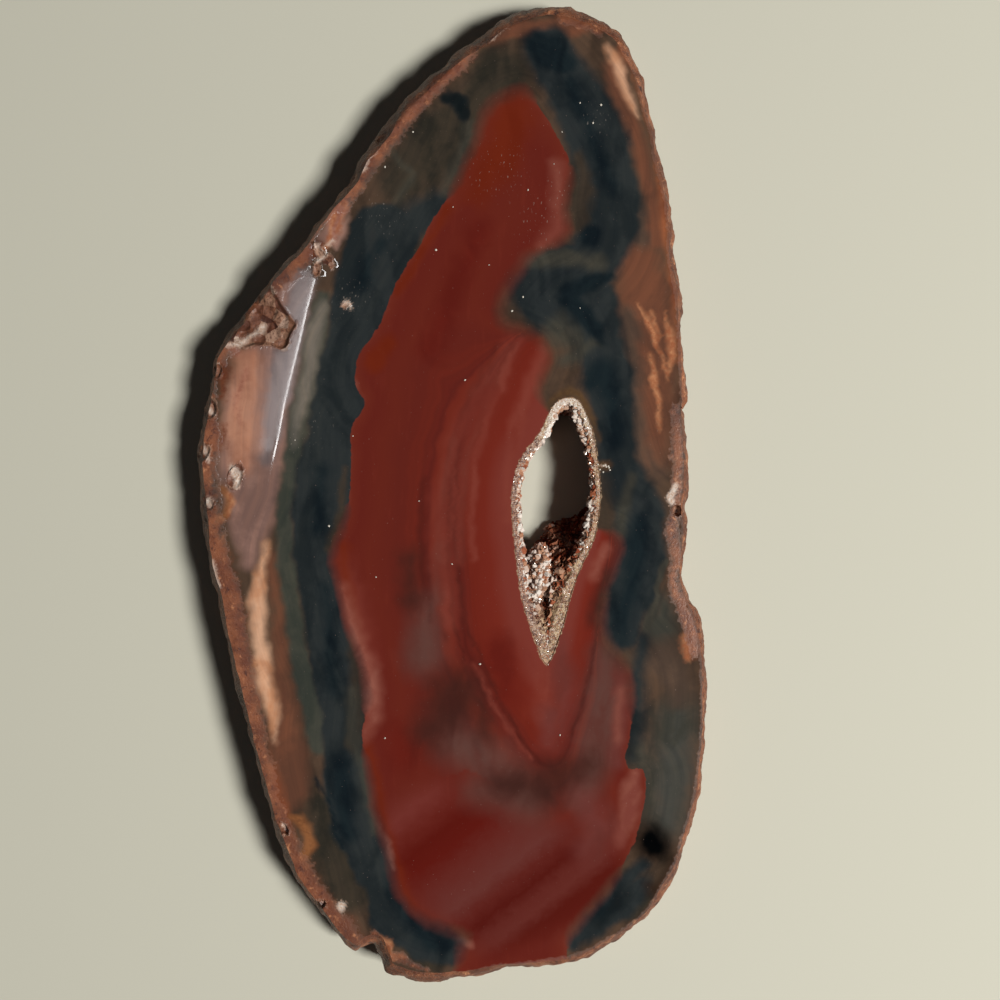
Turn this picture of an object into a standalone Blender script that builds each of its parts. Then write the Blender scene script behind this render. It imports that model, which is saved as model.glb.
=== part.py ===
"""Agate slice: a sawn and polished slab of banded agate with its rough rind, and the crust of
quartz crystals that lines the open hollow through it.

Lengths are in millimetres until a mesh is made. X points right and Y up the length of the slice,
seen from above its polished face, and Z points out of that face. The outlines are drawn about the
middle of the view from above, and the whole part is then moved so that the middle of its box is
at X = Y = 0, with the sawn base at Z = 0.
"""
import math
import random

import bmesh
import bpy
import numpy as np
from mathutils import Matrix, Vector, noise

MM = 0.001

# The slab
THICKNESS = 6.0
# Depth of the widest line of the rind below the polished face
WIDEST_DEPTH = 2.8
# The outline is drawn as seen from this far above the polished face, so what lies deeper is wider
VIEW_HEIGHT = 125.0
OUTLINE_STEPS = 230
# Depth below the polished face, and how far the rind there lies inside the widest outline
RIND_PROFILE = ((0.0, 0.85), (0.35, 0.5), (1.0, 0.2), (1.9, 0.03), (2.8, 0.0),
                (3.8, 0.1), (4.8, 0.4), (5.6, 0.9), (6.0, 1.35))
# Height and size of each layer of lumps on the rind, and their share at the two sawn edges
RIND_LUMPS = ((0.34, 3.4), (0.24, 1.25))
EDGE_LUMPS = 0.35

# Outline of the rind seen from above, clockwise from the top
OUTLINE = (
    (4.1, 49.3), (6.1, 49.3), (7.9, 48.9), (10.0, 48.0), (12.0, 46.6), (12.9, 45.0), (14.0, 42.5),
    (14.6, 39.8), (15.5, 36.7), (15.9, 34.1), (16.8, 30.6), (17.2, 27.5), (17.3, 24.2),
    (18.0, 20.5), (18.3, 16.0), (18.6, 9.6), (18.4, 9.2), (18.8, 4.6), (18.6, 0.9), (18.4, -0.8),
    (18.7, -3.1), (18.3, -7.3), (19.0, -10.0), (19.8, -11.9), (20.5, -16.2), (20.6, -22.2),
    (20.2, -27.0), (19.5, -31.1), (18.6, -33.9), (18.0, -36.1), (16.3, -39.2), (15.1, -41.2),
    (13.0, -43.0), (10.8, -44.4), (8.0, -45.8), (5.6, -46.3), (2.0, -46.8), (-0.3, -47.0),
    (-3.7, -47.8), (-7.5, -48.1), (-10.1, -47.5), (-11.3, -47.0), (-11.6, -46.3),
    (-12.4, -44.3), (-13.5, -44.4), (-14.5, -45.0), (-15.8, -44.1), (-17.0, -42.5),
    (-18.6, -40.3), (-20.3, -38.0), (-21.8, -34.5), (-23.3, -30.0), (-24.4, -26.0),
    (-25.5, -22.0), (-26.4, -18.0), (-27.4, -14.0), (-28.1, -10.0), (-29.2, -6.0),
    (-29.7, -1.5), (-30.2, 4.0), (-29.8, 8.0), (-29.1, 11.5), (-28.6, 14.5), (-27.3, 16.5),
    (-25.5, 18.8), (-23.2, 21.8), (-22.0, 23.1), (-20.0, 25.2), (-18.4, 27.4), (-16.3, 30.0),
    (-14.9, 31.9), (-13.9, 34.1), (-12.2, 36.4), (-10.0, 39.4), (-7.2, 42.0), (-4.4, 44.6),
    (-2.0, 46.2), (0.0, 47.8), (2.0, 48.7),
)

# The worn slope on the left of the polished face falls away from this crease
CREASE = ((-15.5, 30.0), (-22.0, 6.5))
CREASE_TILT = math.radians(4.0)
# Length, width and height of the block that cuts the slope, and how far it starts right of the crease
CREASE_CUTTER = (90.0, 30.0, 8.0)
CREASE_START = 2.0

# The hollow: each point of its rim in the polished face, with the point below it in the base
HOLLOW_STEPS = 60
HOLLOW = (
    ((6.8, 10.2), (6.8, 9.6)), ((8.0, 9.8), (8.0, 9.2)), ((8.9, 7.8), (9.0, 7.4)),
    ((9.5, 5.9), (9.8, 5.4)), ((10.0, 2.0), (10.4, 2.4)), ((10.0, -0.3), (10.4, 0.6)),
    ((9.5, -3.6), (9.8, -0.8)), ((8.3, -6.3), (8.8, -1.8)), ((7.2, -9.2), (7.6, -2.4)),
    ((6.2, -13.0), (6.4, -3.2)), ((4.7, -16.5), (4.6, -4.9)), ((3.5, -14.1), (3.4, -5.8)),
    ((2.2, -10.0), (2.4, -6.0)), ((1.7, -6.5), (1.7, -5.0)), ((1.3, -2.7), (1.3, -2.7)),
    ((1.2, 1.0), (1.2, 1.0)), ((2.0, 4.0), (1.9, 3.8)), ((3.9, 6.6), (3.7, 6.6)),
    ((5.2, 9.2), (4.9, 8.6)), ((5.9, 9.9), (5.7, 9.4)),
)
CUTTER_OVERSHOOT = 0.6
# The middle line of the hollow, from its top to its lower tip, at the rim and at the base
HOLLOW_SPINE = (((6.7, 7.6), (4.9, -13.0)), ((6.7, 7.2), (4.2, -3.8)))

# The crust of quartz
FIT_GAP = 0.32
CRUST_THICKNESS = 0.75
CRUST_STEPS = 76
CRUST_ROWS = 9
CRUST_BACK_ROWS = 3
# In the hollow's tip a point moves no further than these allow
LEAST_FACING = 0.35
MOST_INWARD = 0.9
# How far the crust stops short of each face of the slab
CRUST_RECESS = 0.1
CRYSTAL_HEIGHT = (0.12, 0.5)
# How far a corner between crystals strays, as a share of a step
CRYSTAL_WANDER = 0.24

# Chips: middle, half length, half width, depth below the face there, turn in degrees
CHIP_LUMPS = (0.28, 1.7)
# A chip's scoop is this many times as deep as its bite, and its middle stands above the face
SCOOP_HEIGHT = 1.6
CHIPS = {
    "big_chip": ((-24.0, 18.2), 4.0, 2.3, 0.95, 40),
    "big_chip_foot": ((-22.3, 16.8), 2.0, 1.4, 0.7, 110),
    "left_edge_chip": ((-29.3, 9.0), 1.5, 1.1, 0.9, 80),
    "left_low_chip": ((-29.6, 4.7), 1.3, 1.0, 0.8, 60),
    "sparkly_pit": ((-26.6, 2.3), 1.6, 0.8, 0.45, 70),
    "left_shoulder_chip": ((-28.6, 12.8), 1.0, 0.7, 0.6, 70),
    "upper_notch": ((-14.9, 32.1), 0.9, 0.8, 0.9, 30),
    "top_notch": ((-11.8, 36.3), 0.9, 0.6, 0.8, 50),
    "right_notch": ((18.2, 9.2), 0.8, 0.7, 1.2, 0),
    "right_hole": ((17.7, -1.0), 0.9, 0.6, 1.0, 90),
    "small_pit": ((-19.2, 19.2), 0.6, 0.45, 0.3, 30),
}

AGATE_COLOUR = (0.13, 0.022, 0.014, 1.0)
AGATE_ROUGHNESS = 0.22
SHARP_ANGLE = math.radians(28)
CRUST_COLOUR = (0.52, 0.36, 0.26, 1.0)
CRUST_ROUGHNESS = 0.3
SEED = 7


def smooth_loop(points, count):
    """Closed smooth curve through the points, at count even steps from point to point."""
    points = np.asarray(points, float)
    number = len(points)
    result = []
    for step in range(count):
        place = step * number / count
        index = int(place)
        t = place - index
        before, start, end, after = (points[(index + k) % number] for k in (-1, 0, 1, 2))
        result.append(0.5 * (2 * start + (end - before) * t
                             + (2 * before - 5 * start + 4 * end - after) * t ** 2
                             + (3 * start - before - 3 * end + after) * t ** 3))
    return np.array(result)


def even_loop(points, count):
    """The same curve with its steps even in length."""
    fine = smooth_loop(points, 24 * len(points))
    closed = np.vstack([fine, fine[:1]])
    along = np.concatenate([[0.0], np.cumsum(np.linalg.norm(np.diff(closed, axis=0), axis=1))])
    stations = np.linspace(0.0, along[-1], count, endpoint=False)
    return np.column_stack([np.interp(stations, along, closed[:, k]) for k in (0, 1)])


def outward_normals(loop, reach=2):
    """Normals of a clockwise loop, smoothed over a few neighbours."""
    chord = np.roll(loop, -reach, axis=0) - np.roll(loop, reach, axis=0)
    normals = np.column_stack([-chord[:, 1], chord[:, 0]])
    return normals / np.linalg.norm(normals, axis=1)[:, None]


def lumps(place, layers):
    """Sum of smooth noise layers, each given as height and size."""
    return sum(height * noise.noise(Vector(place) / size) for height, size in layers)


def rind_ring(depth, inset):
    """One level line of the rind, with its lumps."""
    spread = 1 + min(depth, WIDEST_DEPTH) / VIEW_HEIGHT
    loop = even_loop(OUTLINE, OUTLINE_STEPS) * spread
    normals = outward_normals(loop)
    on_face = depth in (0.0, THICKNESS)
    strength = EDGE_LUMPS if on_face else 1.0
    ring = []
    for (x, y), (nx, ny) in zip(loop, normals):
        shift = strength * lumps((x, y, depth), RIND_LUMPS) - inset
        ring.append((x + shift * nx, y + shift * ny, THICKNESS - depth))
    return ring


def box_middle(rings):
    """Middle of the rings' box, seen from above."""
    points = np.array(rings)[:, :, :2].reshape(-1, 2)
    return (points.min(axis=0) + points.max(axis=0)) / 2


def new_object(name, bm, colour=None, roughness=0.5):
    """Make the bmesh, in millimetres about the view's middle, into an object in metres."""
    centre_x, centre_y = CENTRE
    bmesh.ops.translate(bm, verts=bm.verts, vec=(-centre_x, -centre_y, 0))
    bmesh.ops.scale(bm, verts=bm.verts, vec=(MM, MM, MM))
    bmesh.ops.recalc_face_normals(bm, faces=bm.faces)
    mesh = bpy.data.meshes.new(name)
    bm.to_mesh(mesh)
    bm.free()
    made = bpy.data.objects.new(name, mesh)
    bpy.context.collection.objects.link(made)
    if colour:
        material = bpy.data.materials.new(name)
        material.use_nodes = True
        shader = material.node_tree.nodes["Principled BSDF"]
        shader.inputs["Base Color"].default_value = colour
        shader.inputs["Roughness"].default_value = roughness
        shader.inputs["Metallic"].default_value = 0.0
        mesh.materials.append(material)
    return made


def loft(rings, closed=False):
    """Skin a list of rings with the same number of points; the ends are capped or joined."""
    bm = bmesh.new()
    rows = [[bm.verts.new(point) for point in ring] for ring in rings]
    pairs = list(zip(rows, rows[1:])) + ([(rows[-1], rows[0])] if closed else [])
    for lower, upper in pairs:
        for k in range(len(lower)):
            after = (k + 1) % len(lower)
            bm.faces.new((lower[k], lower[after], upper[after], upper[k]))
    if not closed:
        bm.faces.new(rows[0])
        bm.faces.new(rows[-1])
    return bm


def cut(target, cutter):
    """Subtract a hidden cutter from an object with an exact Boolean."""
    cutter.hide_render = True
    cutter.display_type = "WIRE"
    modifier = target.modifiers.new(cutter.name, "BOOLEAN")
    modifier.operation = "DIFFERENCE"
    modifier.solver = "EXACT"
    modifier.object = cutter


def hollow_loop(height, count):
    """Wall of the hollow at a height, as a loop with the same points at every height."""
    rim = smooth_loop([pair[0] for pair in HOLLOW], count)
    floor = smooth_loop([pair[1] for pair in HOLLOW], count)
    return floor + (rim - floor) * height / THICKNESS


def hollow_cutter():
    """The hollow's space, a little longer than the slab is thick."""
    heights = (-CUTTER_OVERSHOOT, THICKNESS / 3, 2 * THICKNESS / 3, THICKNESS + CUTTER_OVERSHOOT)
    rings = [[(x, y, height) for x, y in hollow_loop(height, HOLLOW_STEPS)] for height in heights]
    return new_object("hollow_cutter", loft(rings))


def crease_cutter():
    """A block whose underside is the worn slope, turned down about the crease."""
    length, width, height = CREASE_CUTTER
    top, low = (Vector((x, y, THICKNESS)) for x, y in CREASE)
    along = (low - top).normalized()
    left = Vector((along.y, -along.x, 0))
    down_left = left * math.cos(CREASE_TILT) - Vector((0, 0, 1)) * math.sin(CREASE_TILT)
    upward = along.cross(down_left)
    if upward.z < 0:
        upward.negate()
    middle = (top + low) / 2 + down_left * (width / 2 - CREASE_START) + upward * height / 2
    turn = Matrix((along, down_left, upward)).transposed().to_4x4()
    bm = bmesh.new()
    bmesh.ops.create_cube(bm, size=1.0, matrix=Matrix.Diagonal((length, width, height, 1.0)))
    bmesh.ops.transform(bm, verts=bm.verts, matrix=Matrix.Translation(middle) @ turn)
    return new_object("crease_cutter", bm)


def slope_drop(x, y):
    """How far the worn slope lies below the polished face at a place."""
    top, low = (Vector(point) for point in CREASE)
    along = (low - top).normalized()
    left = Vector((along.y, -along.x))
    return max(0.0, (Vector((x, y)) - top).dot(left)) * math.tan(CREASE_TILT)


def chip_cutter(name, middle, half_length, half_width, depth, turn):
    """A lumpy shell-shaped scoop that bites to the given depth into the face."""
    x, y = middle
    bm = bmesh.new()
    bmesh.ops.create_icosphere(bm, subdivisions=2, radius=1.0)
    height, frequency = CHIP_LUMPS
    for vertex in bm.verts:
        vertex.co *= 1 + height * noise.noise(vertex.co * frequency + Vector((x, y, 0)))
    bmesh.ops.scale(bm, verts=bm.verts, vec=(half_length, half_width, SCOOP_HEIGHT * depth))
    middle_height = THICKNESS - slope_drop(x, y) + (SCOOP_HEIGHT - 1) * depth
    place = Matrix.Translation((x, y, middle_height)) @ Matrix.Rotation(math.radians(turn), 4, "Z")
    bmesh.ops.transform(bm, verts=bm.verts, matrix=place)
    return new_object(name, bm)


def agate_slice():
    """The slab with its rind, cut by the hollow, the worn slope and the chips."""
    slab = new_object("agate_slice", loft(RIND_RINGS), AGATE_COLOUR, AGATE_ROUGHNESS)
    slab.data.shade_smooth()
    slab.data.set_sharp_from_angle(angle=SHARP_ANGLE)
    cut(slab, hollow_cutter())
    cut(slab, crease_cutter())
    for name, chip in CHIPS.items():
        cut(slab, chip_cutter(name, *chip))
    return slab


def towards_spine(loop, height, distance):
    """Move a wall loop inward by a distance, square to the wall, towards the hollow's spine."""
    share = height / THICKNESS
    rim_ends, floor_ends = (np.array(ends, float) for ends in HOLLOW_SPINE)
    top, low = floor_ends + (rim_ends - floor_ends) * share
    axis = low - top
    steps = np.clip((loop - top) @ axis / (axis @ axis), 0.0, 1.0)
    inward = top + steps[:, None] * axis - loop
    room = np.linalg.norm(inward, axis=1)
    inward /= room[:, None]
    sides = np.roll(loop, -1, axis=0) - loop
    after = np.column_stack([sides[:, 1], -sides[:, 0]])
    after /= np.linalg.norm(after, axis=1)[:, None]
    before = np.roll(after, 1, axis=0)
    facing = np.minimum((inward * after).sum(axis=1), (inward * before).sum(axis=1))
    moved = np.minimum(distance / np.clip(facing, LEAST_FACING, 1.0), MOST_INWARD * room)
    return loop + inward * moved[:, None]


def crust_loop(height, distance):
    """Loop in the hollow at a distance from its wall, more of it where the wall leans."""
    wall = hollow_loop(height, CRUST_STEPS)
    lean = np.linalg.norm(hollow_loop(THICKNESS, CRUST_STEPS) - hollow_loop(0.0, CRUST_STEPS), axis=1)
    slant = np.hypot(lean, THICKNESS) / THICKNESS
    return towards_spine(wall, height, distance * slant)


def quartz_crust():
    """The crust: a lining whose inner side is a crowd of flat-faced crystal points."""
    chance = random.Random(SEED)
    low, high = CRUST_RECESS, THICKNESS - CRUST_RECESS
    rise = (high - low) / CRUST_ROWS
    back = [[(x, y, z) for x, y in crust_loop(z, FIT_GAP)]
            for z in np.linspace(low, high, CRUST_BACK_ROWS)]
    front = []
    for row, z in enumerate(np.linspace(high, low, CRUST_ROWS + 1)):
        edge = row in (0, CRUST_ROWS)
        ring = []
        loop = crust_loop(z, FIT_GAP + CRUST_THICKNESS)
        for k, (x, y) in enumerate(loop):
            step = loop[(k + 1) % CRUST_STEPS] - loop[k]
            shift = chance.uniform(-CRYSTAL_WANDER, CRYSTAL_WANDER)
            lift = 0.0 if edge else chance.uniform(-CRYSTAL_WANDER, CRYSTAL_WANDER) * rise
            ring.append((x + shift * step[0], y + shift * step[1], z + lift))
        front.append(ring)
    bm = loft(back + front, closed=True)
    bmesh.ops.recalc_face_normals(bm, faces=bm.faces)
    bm.faces.ensure_lookup_table()
    first_cell = CRUST_BACK_ROWS * CRUST_STEPS
    cells = bm.faces[first_cell:first_cell + CRUST_ROWS * CRUST_STEPS]
    normals = [cell.normal.copy() for cell in cells]
    tips = bmesh.ops.poke(bm, faces=cells)["verts"]
    for tip, normal in zip(tips, normals):
        tip.co += normal * chance.uniform(*CRYSTAL_HEIGHT)
    return new_object("quartz_crust", bm, CRUST_COLOUR, CRUST_ROUGHNESS)


for old in list(bpy.data.objects):
    bpy.data.objects.remove(old, do_unlink=True)

RIND_RINGS = [rind_ring(depth, inset) for depth, inset in RIND_PROFILE]
CENTRE = box_middle(RIND_RINGS)
agate_slice()
quartz_crust()
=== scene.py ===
"""Looks of the agate slice: its painted bands, polish, rind, chips and the crystals of its hollow.

Points on the stone are read in the photograph's own pixels, named here, and placed on the stone
by from_view. Other lengths are in millimetres, and meshes are made in metres by new_mesh.
"""
import math
import random

import bmesh
import bpy
import numpy as np
from mathutils import Matrix, Vector, noise
from mathutils.geometry import delaunay_2d_cdt


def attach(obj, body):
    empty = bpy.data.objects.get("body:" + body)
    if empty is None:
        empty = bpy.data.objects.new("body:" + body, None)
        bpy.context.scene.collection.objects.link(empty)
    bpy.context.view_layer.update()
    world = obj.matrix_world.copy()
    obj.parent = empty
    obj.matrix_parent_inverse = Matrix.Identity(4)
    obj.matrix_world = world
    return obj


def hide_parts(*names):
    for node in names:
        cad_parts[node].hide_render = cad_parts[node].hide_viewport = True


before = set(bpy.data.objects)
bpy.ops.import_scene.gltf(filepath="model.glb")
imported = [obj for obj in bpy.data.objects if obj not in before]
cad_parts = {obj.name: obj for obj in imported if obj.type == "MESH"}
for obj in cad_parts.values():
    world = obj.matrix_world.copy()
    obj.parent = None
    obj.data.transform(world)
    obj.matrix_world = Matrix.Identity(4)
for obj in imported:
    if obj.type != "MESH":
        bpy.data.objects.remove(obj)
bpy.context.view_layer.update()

MM = 0.001

# The view from above: size of a pixel on the polished face, where the picture's middle lies
# in the frame, and how far the camera is above the face
PIXEL = 0.1
PICTURE_MIDDLE = (500, 500)
VIEW_MIDDLE = (4.923, -0.559)
VIEW_HEIGHT = 125.0

# The slab, as the solids have it
THICKNESS = 6.0
WIDEST_DEPTH = 2.8
RIND_PROFILE = ((0.0, 0.85), (0.35, 0.5), (1.0, 0.2), (1.9, 0.03), (2.8, 0.0),
                (3.8, 0.1), (4.8, 0.4), (5.6, 0.9), (6.0, 1.35))
RIND_LUMPS = ((0.34, 3.4), (0.24, 1.25))
EDGE_LUMPS = 0.35
# Outline of the rind seen from above, in millimetres from the picture's middle
OUTLINE = (
    (4.1, 49.3), (6.1, 49.3), (7.9, 48.9), (10.0, 48.0), (12.0, 46.6), (12.9, 45.0), (14.0, 42.5),
    (14.6, 39.8), (15.5, 36.7), (15.9, 34.1), (16.8, 30.6), (17.2, 27.5), (17.3, 24.2),
    (18.0, 20.5), (18.3, 16.0), (18.6, 9.6), (18.4, 9.2), (18.8, 4.6), (18.6, 0.9), (18.4, -0.8),
    (18.7, -3.1), (18.3, -7.3), (19.0, -10.0), (19.8, -11.9), (20.5, -16.2), (20.6, -22.2),
    (20.2, -27.0), (19.5, -31.1), (18.6, -33.9), (18.0, -36.1), (16.3, -39.2), (15.1, -41.2),
    (13.0, -43.0), (10.8, -44.4), (8.0, -45.8), (5.6, -46.3), (2.0, -46.8), (-0.3, -47.0),
    (-3.7, -47.8), (-7.5, -48.1), (-10.1, -47.5), (-11.3, -47.0), (-11.6, -46.3),
    (-12.4, -44.3), (-13.5, -44.4), (-14.5, -45.0), (-15.8, -44.1), (-17.0, -42.5),
    (-18.6, -40.3), (-20.3, -38.0), (-21.8, -34.5), (-23.3, -30.0), (-24.4, -26.0),
    (-25.5, -22.0), (-26.4, -18.0), (-27.4, -14.0), (-28.1, -10.0), (-29.2, -6.0),
    (-29.7, -1.5), (-30.2, 4.0), (-29.8, 8.0), (-29.1, 11.5), (-28.6, 14.5), (-27.3, 16.5),
    (-25.5, 18.8), (-23.2, 21.8), (-22.0, 23.1), (-20.0, 25.2), (-18.4, 27.4), (-16.3, 30.0),
    (-14.9, 31.9), (-13.9, 34.1), (-12.2, 36.4), (-10.0, 39.4), (-7.2, 42.0), (-4.4, 44.6),
    (-2.0, 46.2), (0.0, 47.8), (2.0, 48.7),
)
# The hollow's rim with the point below each in the base, and its middle line at rim and base
HOLLOW = (
    ((6.8, 10.2), (6.8, 9.6)), ((8.0, 9.8), (8.0, 9.2)), ((8.9, 7.8), (9.0, 7.4)),
    ((9.5, 5.9), (9.8, 5.4)), ((10.0, 2.0), (10.4, 2.4)), ((10.0, -0.3), (10.4, 0.6)),
    ((9.5, -3.6), (9.8, -0.8)), ((8.3, -6.3), (8.8, -1.8)), ((7.2, -9.2), (7.6, -2.4)),
    ((6.2, -13.0), (6.4, -3.2)), ((4.7, -16.5), (4.6, -4.9)), ((3.5, -14.1), (3.4, -5.8)),
    ((2.2, -10.0), (2.4, -6.0)), ((1.7, -6.5), (1.7, -5.0)), ((1.3, -2.7), (1.3, -2.7)),
    ((1.2, 1.0), (1.2, 1.0)), ((2.0, 4.0), (1.9, 3.8)), ((3.9, 6.6), (3.7, 6.6)),
    ((5.2, 9.2), (4.9, 8.6)), ((5.9, 9.9), (5.7, 9.4)),
)
HOLLOW_SPINE = (((6.7, 7.6), (4.9, -13.0)), ((6.7, 7.2), (4.2, -3.8)))

# Mesh density: steps round the outline and the rim, and the spacing of points in the two faces
OUTLINE_STEPS = 1000
RIM_STEPS = 260
FACE_SPACING = 0.32
FINE_SPACING = 0.14
BASE_SPACING = 0.56
CREASE_ROWS = (-0.3, -0.16, -0.06, 0.02, 0.1, 0.18, 0.27, 0.38, 0.5, 0.65)
CREASE_STEP = 0.3
RIND_LEVELS = (0.0, 0.08, 0.2, 0.4, 0.65, 0.95, 1.3, 1.65, 2.0, 2.4, 2.8, 3.2, 3.6, 4.0, 4.4, 4.8,
               5.2, 5.5, 5.75, 5.9, 6.0)
WALL_LEVELS = 7
FINE_LUMPS = ((0.10, 0.6), (0.06, 0.28))
# How much less the polished face stands back from the rind on the right and at the far left
BARE_SHARE = 0.6
# Where that starts and where it is full, from the picture's middle: on the right, but not near the
# top, and at the far left
BARE_RIGHT = (-8.0, 4.0)
BARE_TOP = (46.0, 40.0)
BARE_LEFT = (-12.0, -17.0)

# The worn slope on the left falls away from this crease, in pixels
CREASE_PX = ((345, 200), (330, 238), (318, 272), (308, 310), (300, 345), (291, 381), (286, 402),
             (280, 435), (270, 480), (258, 530), (246, 575), (234, 620))
CREASE_TILT = math.radians(4.0)
CREASE_ROUNDING = 0.25
CREASE_FADE = 6.0
# The pieces' smooth faces meet at sharp edges past this angle
SHARP_ANGLE = math.radians(38)


def from_view(points):
    """Places in the frame, in millimetres, of pixels of the photograph on the polished face."""
    return (np.asarray(points, float)[..., :2] - PICTURE_MIDDLE) * (PIXEL, -PIXEL) + VIEW_MIDDLE


def smooth_loop(points, count):
    """Closed smooth curve through the points, at count even steps from point to point."""
    points = np.asarray(points, float)
    number = len(points)
    place = np.arange(count) * number / count
    index = place.astype(int)
    t = (place - index)[:, None]
    before, start, end, after = (points[(index + k) % number] for k in (-1, 0, 1, 2))
    return 0.5 * (2 * start + (end - before) * t + (2 * before - 5 * start + 4 * end - after) * t ** 2
                  + (3 * start - before - 3 * end + after) * t ** 3)


def along_path(path, stations_for):
    """Points of a path at the distances along it that are given for its whole length."""
    path = np.asarray(path, float)
    along = np.concatenate([[0.0], np.cumsum(np.linalg.norm(np.diff(path, axis=0), axis=1))])
    stations = stations_for(along[-1])
    return np.column_stack([np.interp(stations, along, path[:, k]) for k in (0, 1)])


def outward_normals(loop, reach):
    """Normals of a clockwise loop, smoothed over a few neighbours."""
    chord = np.roll(loop, -reach, axis=0) - np.roll(loop, reach, axis=0)
    normals = np.column_stack([-chord[:, 1], chord[:, 0]])
    return normals / np.linalg.norm(normals, axis=1)[:, None]


def at_height(points, height):
    """The points in space, at one height or each at its own."""
    return np.column_stack([points, np.broadcast_to(height, len(points))])


def noise_at(places, size):
    """Smooth noise at each place, in the range of about -1 to 1."""
    return np.array([noise.noise(Vector(place) / size) for place in places])


def lumps(places, waves):
    """Noises added up, each with its own height and size."""
    return sum(height * noise_at(places, size) for height, size in waves)


def smoothstep(low, high, value):
    """Smooth rise from 0 to 1 as value goes from low to high."""
    t = np.clip((value - low) / (high - low), 0.0, 1.0)
    return t * t * (3 - 2 * t)


def distance_to(points, path, closed=False):
    """Distance of each point to a path, and how far along the path its nearest point is."""
    path = np.asarray(path, float)
    best = np.full(len(points), np.inf)
    along = np.zeros(len(points))
    for number, (start, end) in enumerate(zip(path, np.roll(path, -1, axis=0) if closed else path[1:])):
        leg = end - start
        t = np.clip((points - start) @ leg / max(leg @ leg, 1e-12), 0.0, 1.0)
        gap = points - (start + t[:, None] * leg)
        square = (gap * gap).sum(axis=1)
        closer = square < best
        best[closer] = square[closer]
        along[closer] = number + t[closer]
    return np.sqrt(best), along


def inside(points, loop):
    """Whether each point is inside a closed loop."""
    result = np.zeros(len(points), bool)
    x, y = points[:, 0], points[:, 1]
    for (x0, y0), (x1, y1) in zip(loop, np.roll(loop, -1, axis=0)):
        if y0 != y1:
            crosses = (y0 > y) != (y1 > y)
            result ^= crosses & (x < (x1 - x0) * (y - y0) / (y1 - y0) + x0)
    return result


def signed_distance(points, loop):
    """Distance to a closed loop, negative inside it."""
    gap, _ = distance_to(points, loop, closed=True)
    return np.where(inside(points, loop), -gap, gap)


# Chips and pits: middle, half length, half width in pixels, turn in degrees, depth
CHIPS_PX = (
    ((206, 408), 13, 10, 80, 0.55), ((201, 453), 11, 8, 60, 0.45), ((235, 477), 14, 8, 70, 0.3),
    ((206, 504), 9, 8, 0, 0.4), ((215, 371), 9, 6, 70, 0.35), ((351, 178), 9, 6, 60, 0.6),
    ((380, 138), 8, 5, 50, 0.5), ((687, 405), 6, 6, 0, 1.2), ((677, 510), 7, 5, 90, 0.9),
    ((346, 305), 5, 3, 30, 0.16), ((284, 829), 8, 4, 120, 0.6), ((321, 904), 5, 4, 0, 0.5),
    ((321, 254), 13, 4, 125, 0.3), ((317, 268), 9, 4, 80, 0.25), ((330, 262), 8, 3, 110, 0.2),
)
BIG_CHIP_PX = ((268, 280), (280, 300), (291, 318), (297, 325), (290, 335), (289, 345), (282, 350),
               (262, 345), (240, 346), (222, 338), (205, 330), (235, 295), (258, 268))
BIG_CHIP_DEPTH = 1.0
# The face's points are closer within this reach of the big chip's middle
BIG_CHIP_MIDDLE_PX = (255, 315)
BIG_CHIP_REACH = 5.5
CHIP_ROUGHNESS = ((0.22, 1.5), (0.16, 0.55))
# Noise that bends the chips' outlines, and the planes of noise that it and their roughness use
CHIP_WOBBLE_SIZE = 1.1
WOBBLE_PLANE = 3.3
ROUGH_PLANE = 9.1


def slope_drop(points):
    """How far the worn slope lies below the polished face at each place."""
    crease = from_view(CREASE_PX)
    gap, _ = distance_to(points, crease)
    line_x = np.interp(points[:, 1], crease[::-1, 1], crease[::-1, 0])
    left = np.where(points[:, 0] < line_x, gap, 0.0)
    fade = smoothstep(crease[-1, 1] - CREASE_FADE, crease[-1, 1] + CREASE_FADE, points[:, 1])
    rounded = np.sqrt(left ** 2 + CREASE_ROUNDING ** 2) - CREASE_ROUNDING
    return rounded * math.tan(CREASE_TILT) * fade


def chip_drop(points):
    """Depth of the chips at each place, and how fully each place lies in a chip."""
    wobble = noise_at(at_height(points, WOBBLE_PLANE), CHIP_WOBBLE_SIZE)
    rough = sum(height * np.abs(noise_at(at_height(points, ROUGH_PLANE), size))
                for height, size in CHIP_ROUGHNESS)
    drop, cover = np.zeros((2, len(points)))
    for middle, half_length, half_width, turn, depth in CHIPS_PX:
        offset = points - from_view(middle)
        c, s = math.cos(math.radians(turn)), math.sin(math.radians(turn))
        along, across = offset @ (c, s), offset @ (-s, c)
        reach = np.hypot(along / (half_length * PIXEL), across / (half_width * PIXEL)) + 0.25 * wobble
        share = smoothstep(1.0, 0.55, reach)
        drop = np.maximum(drop, share * (depth - np.minimum(rough, 0.5 * depth)))
        cover = np.maximum(cover, smoothstep(1.05, 0.9, reach))
    deep = -signed_distance(points, smooth_loop(from_view(BIG_CHIP_PX), 78)) + 0.18 * wobble
    big = smoothstep(0.0, 0.45, deep) * (0.45 + 0.55 * smoothstep(0.2, 2.6, deep)) * BIG_CHIP_DEPTH
    drop = np.maximum(drop, big - rough * smoothstep(0.0, 0.6, deep))
    return np.maximum(drop, 0.0), np.maximum(cover, smoothstep(-0.08, 0.08, deep))


def surface_height(points):
    """Height of the top of the slab at each place."""
    return THICKNESS - slope_drop(points) - chip_drop(points)[0]


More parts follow.
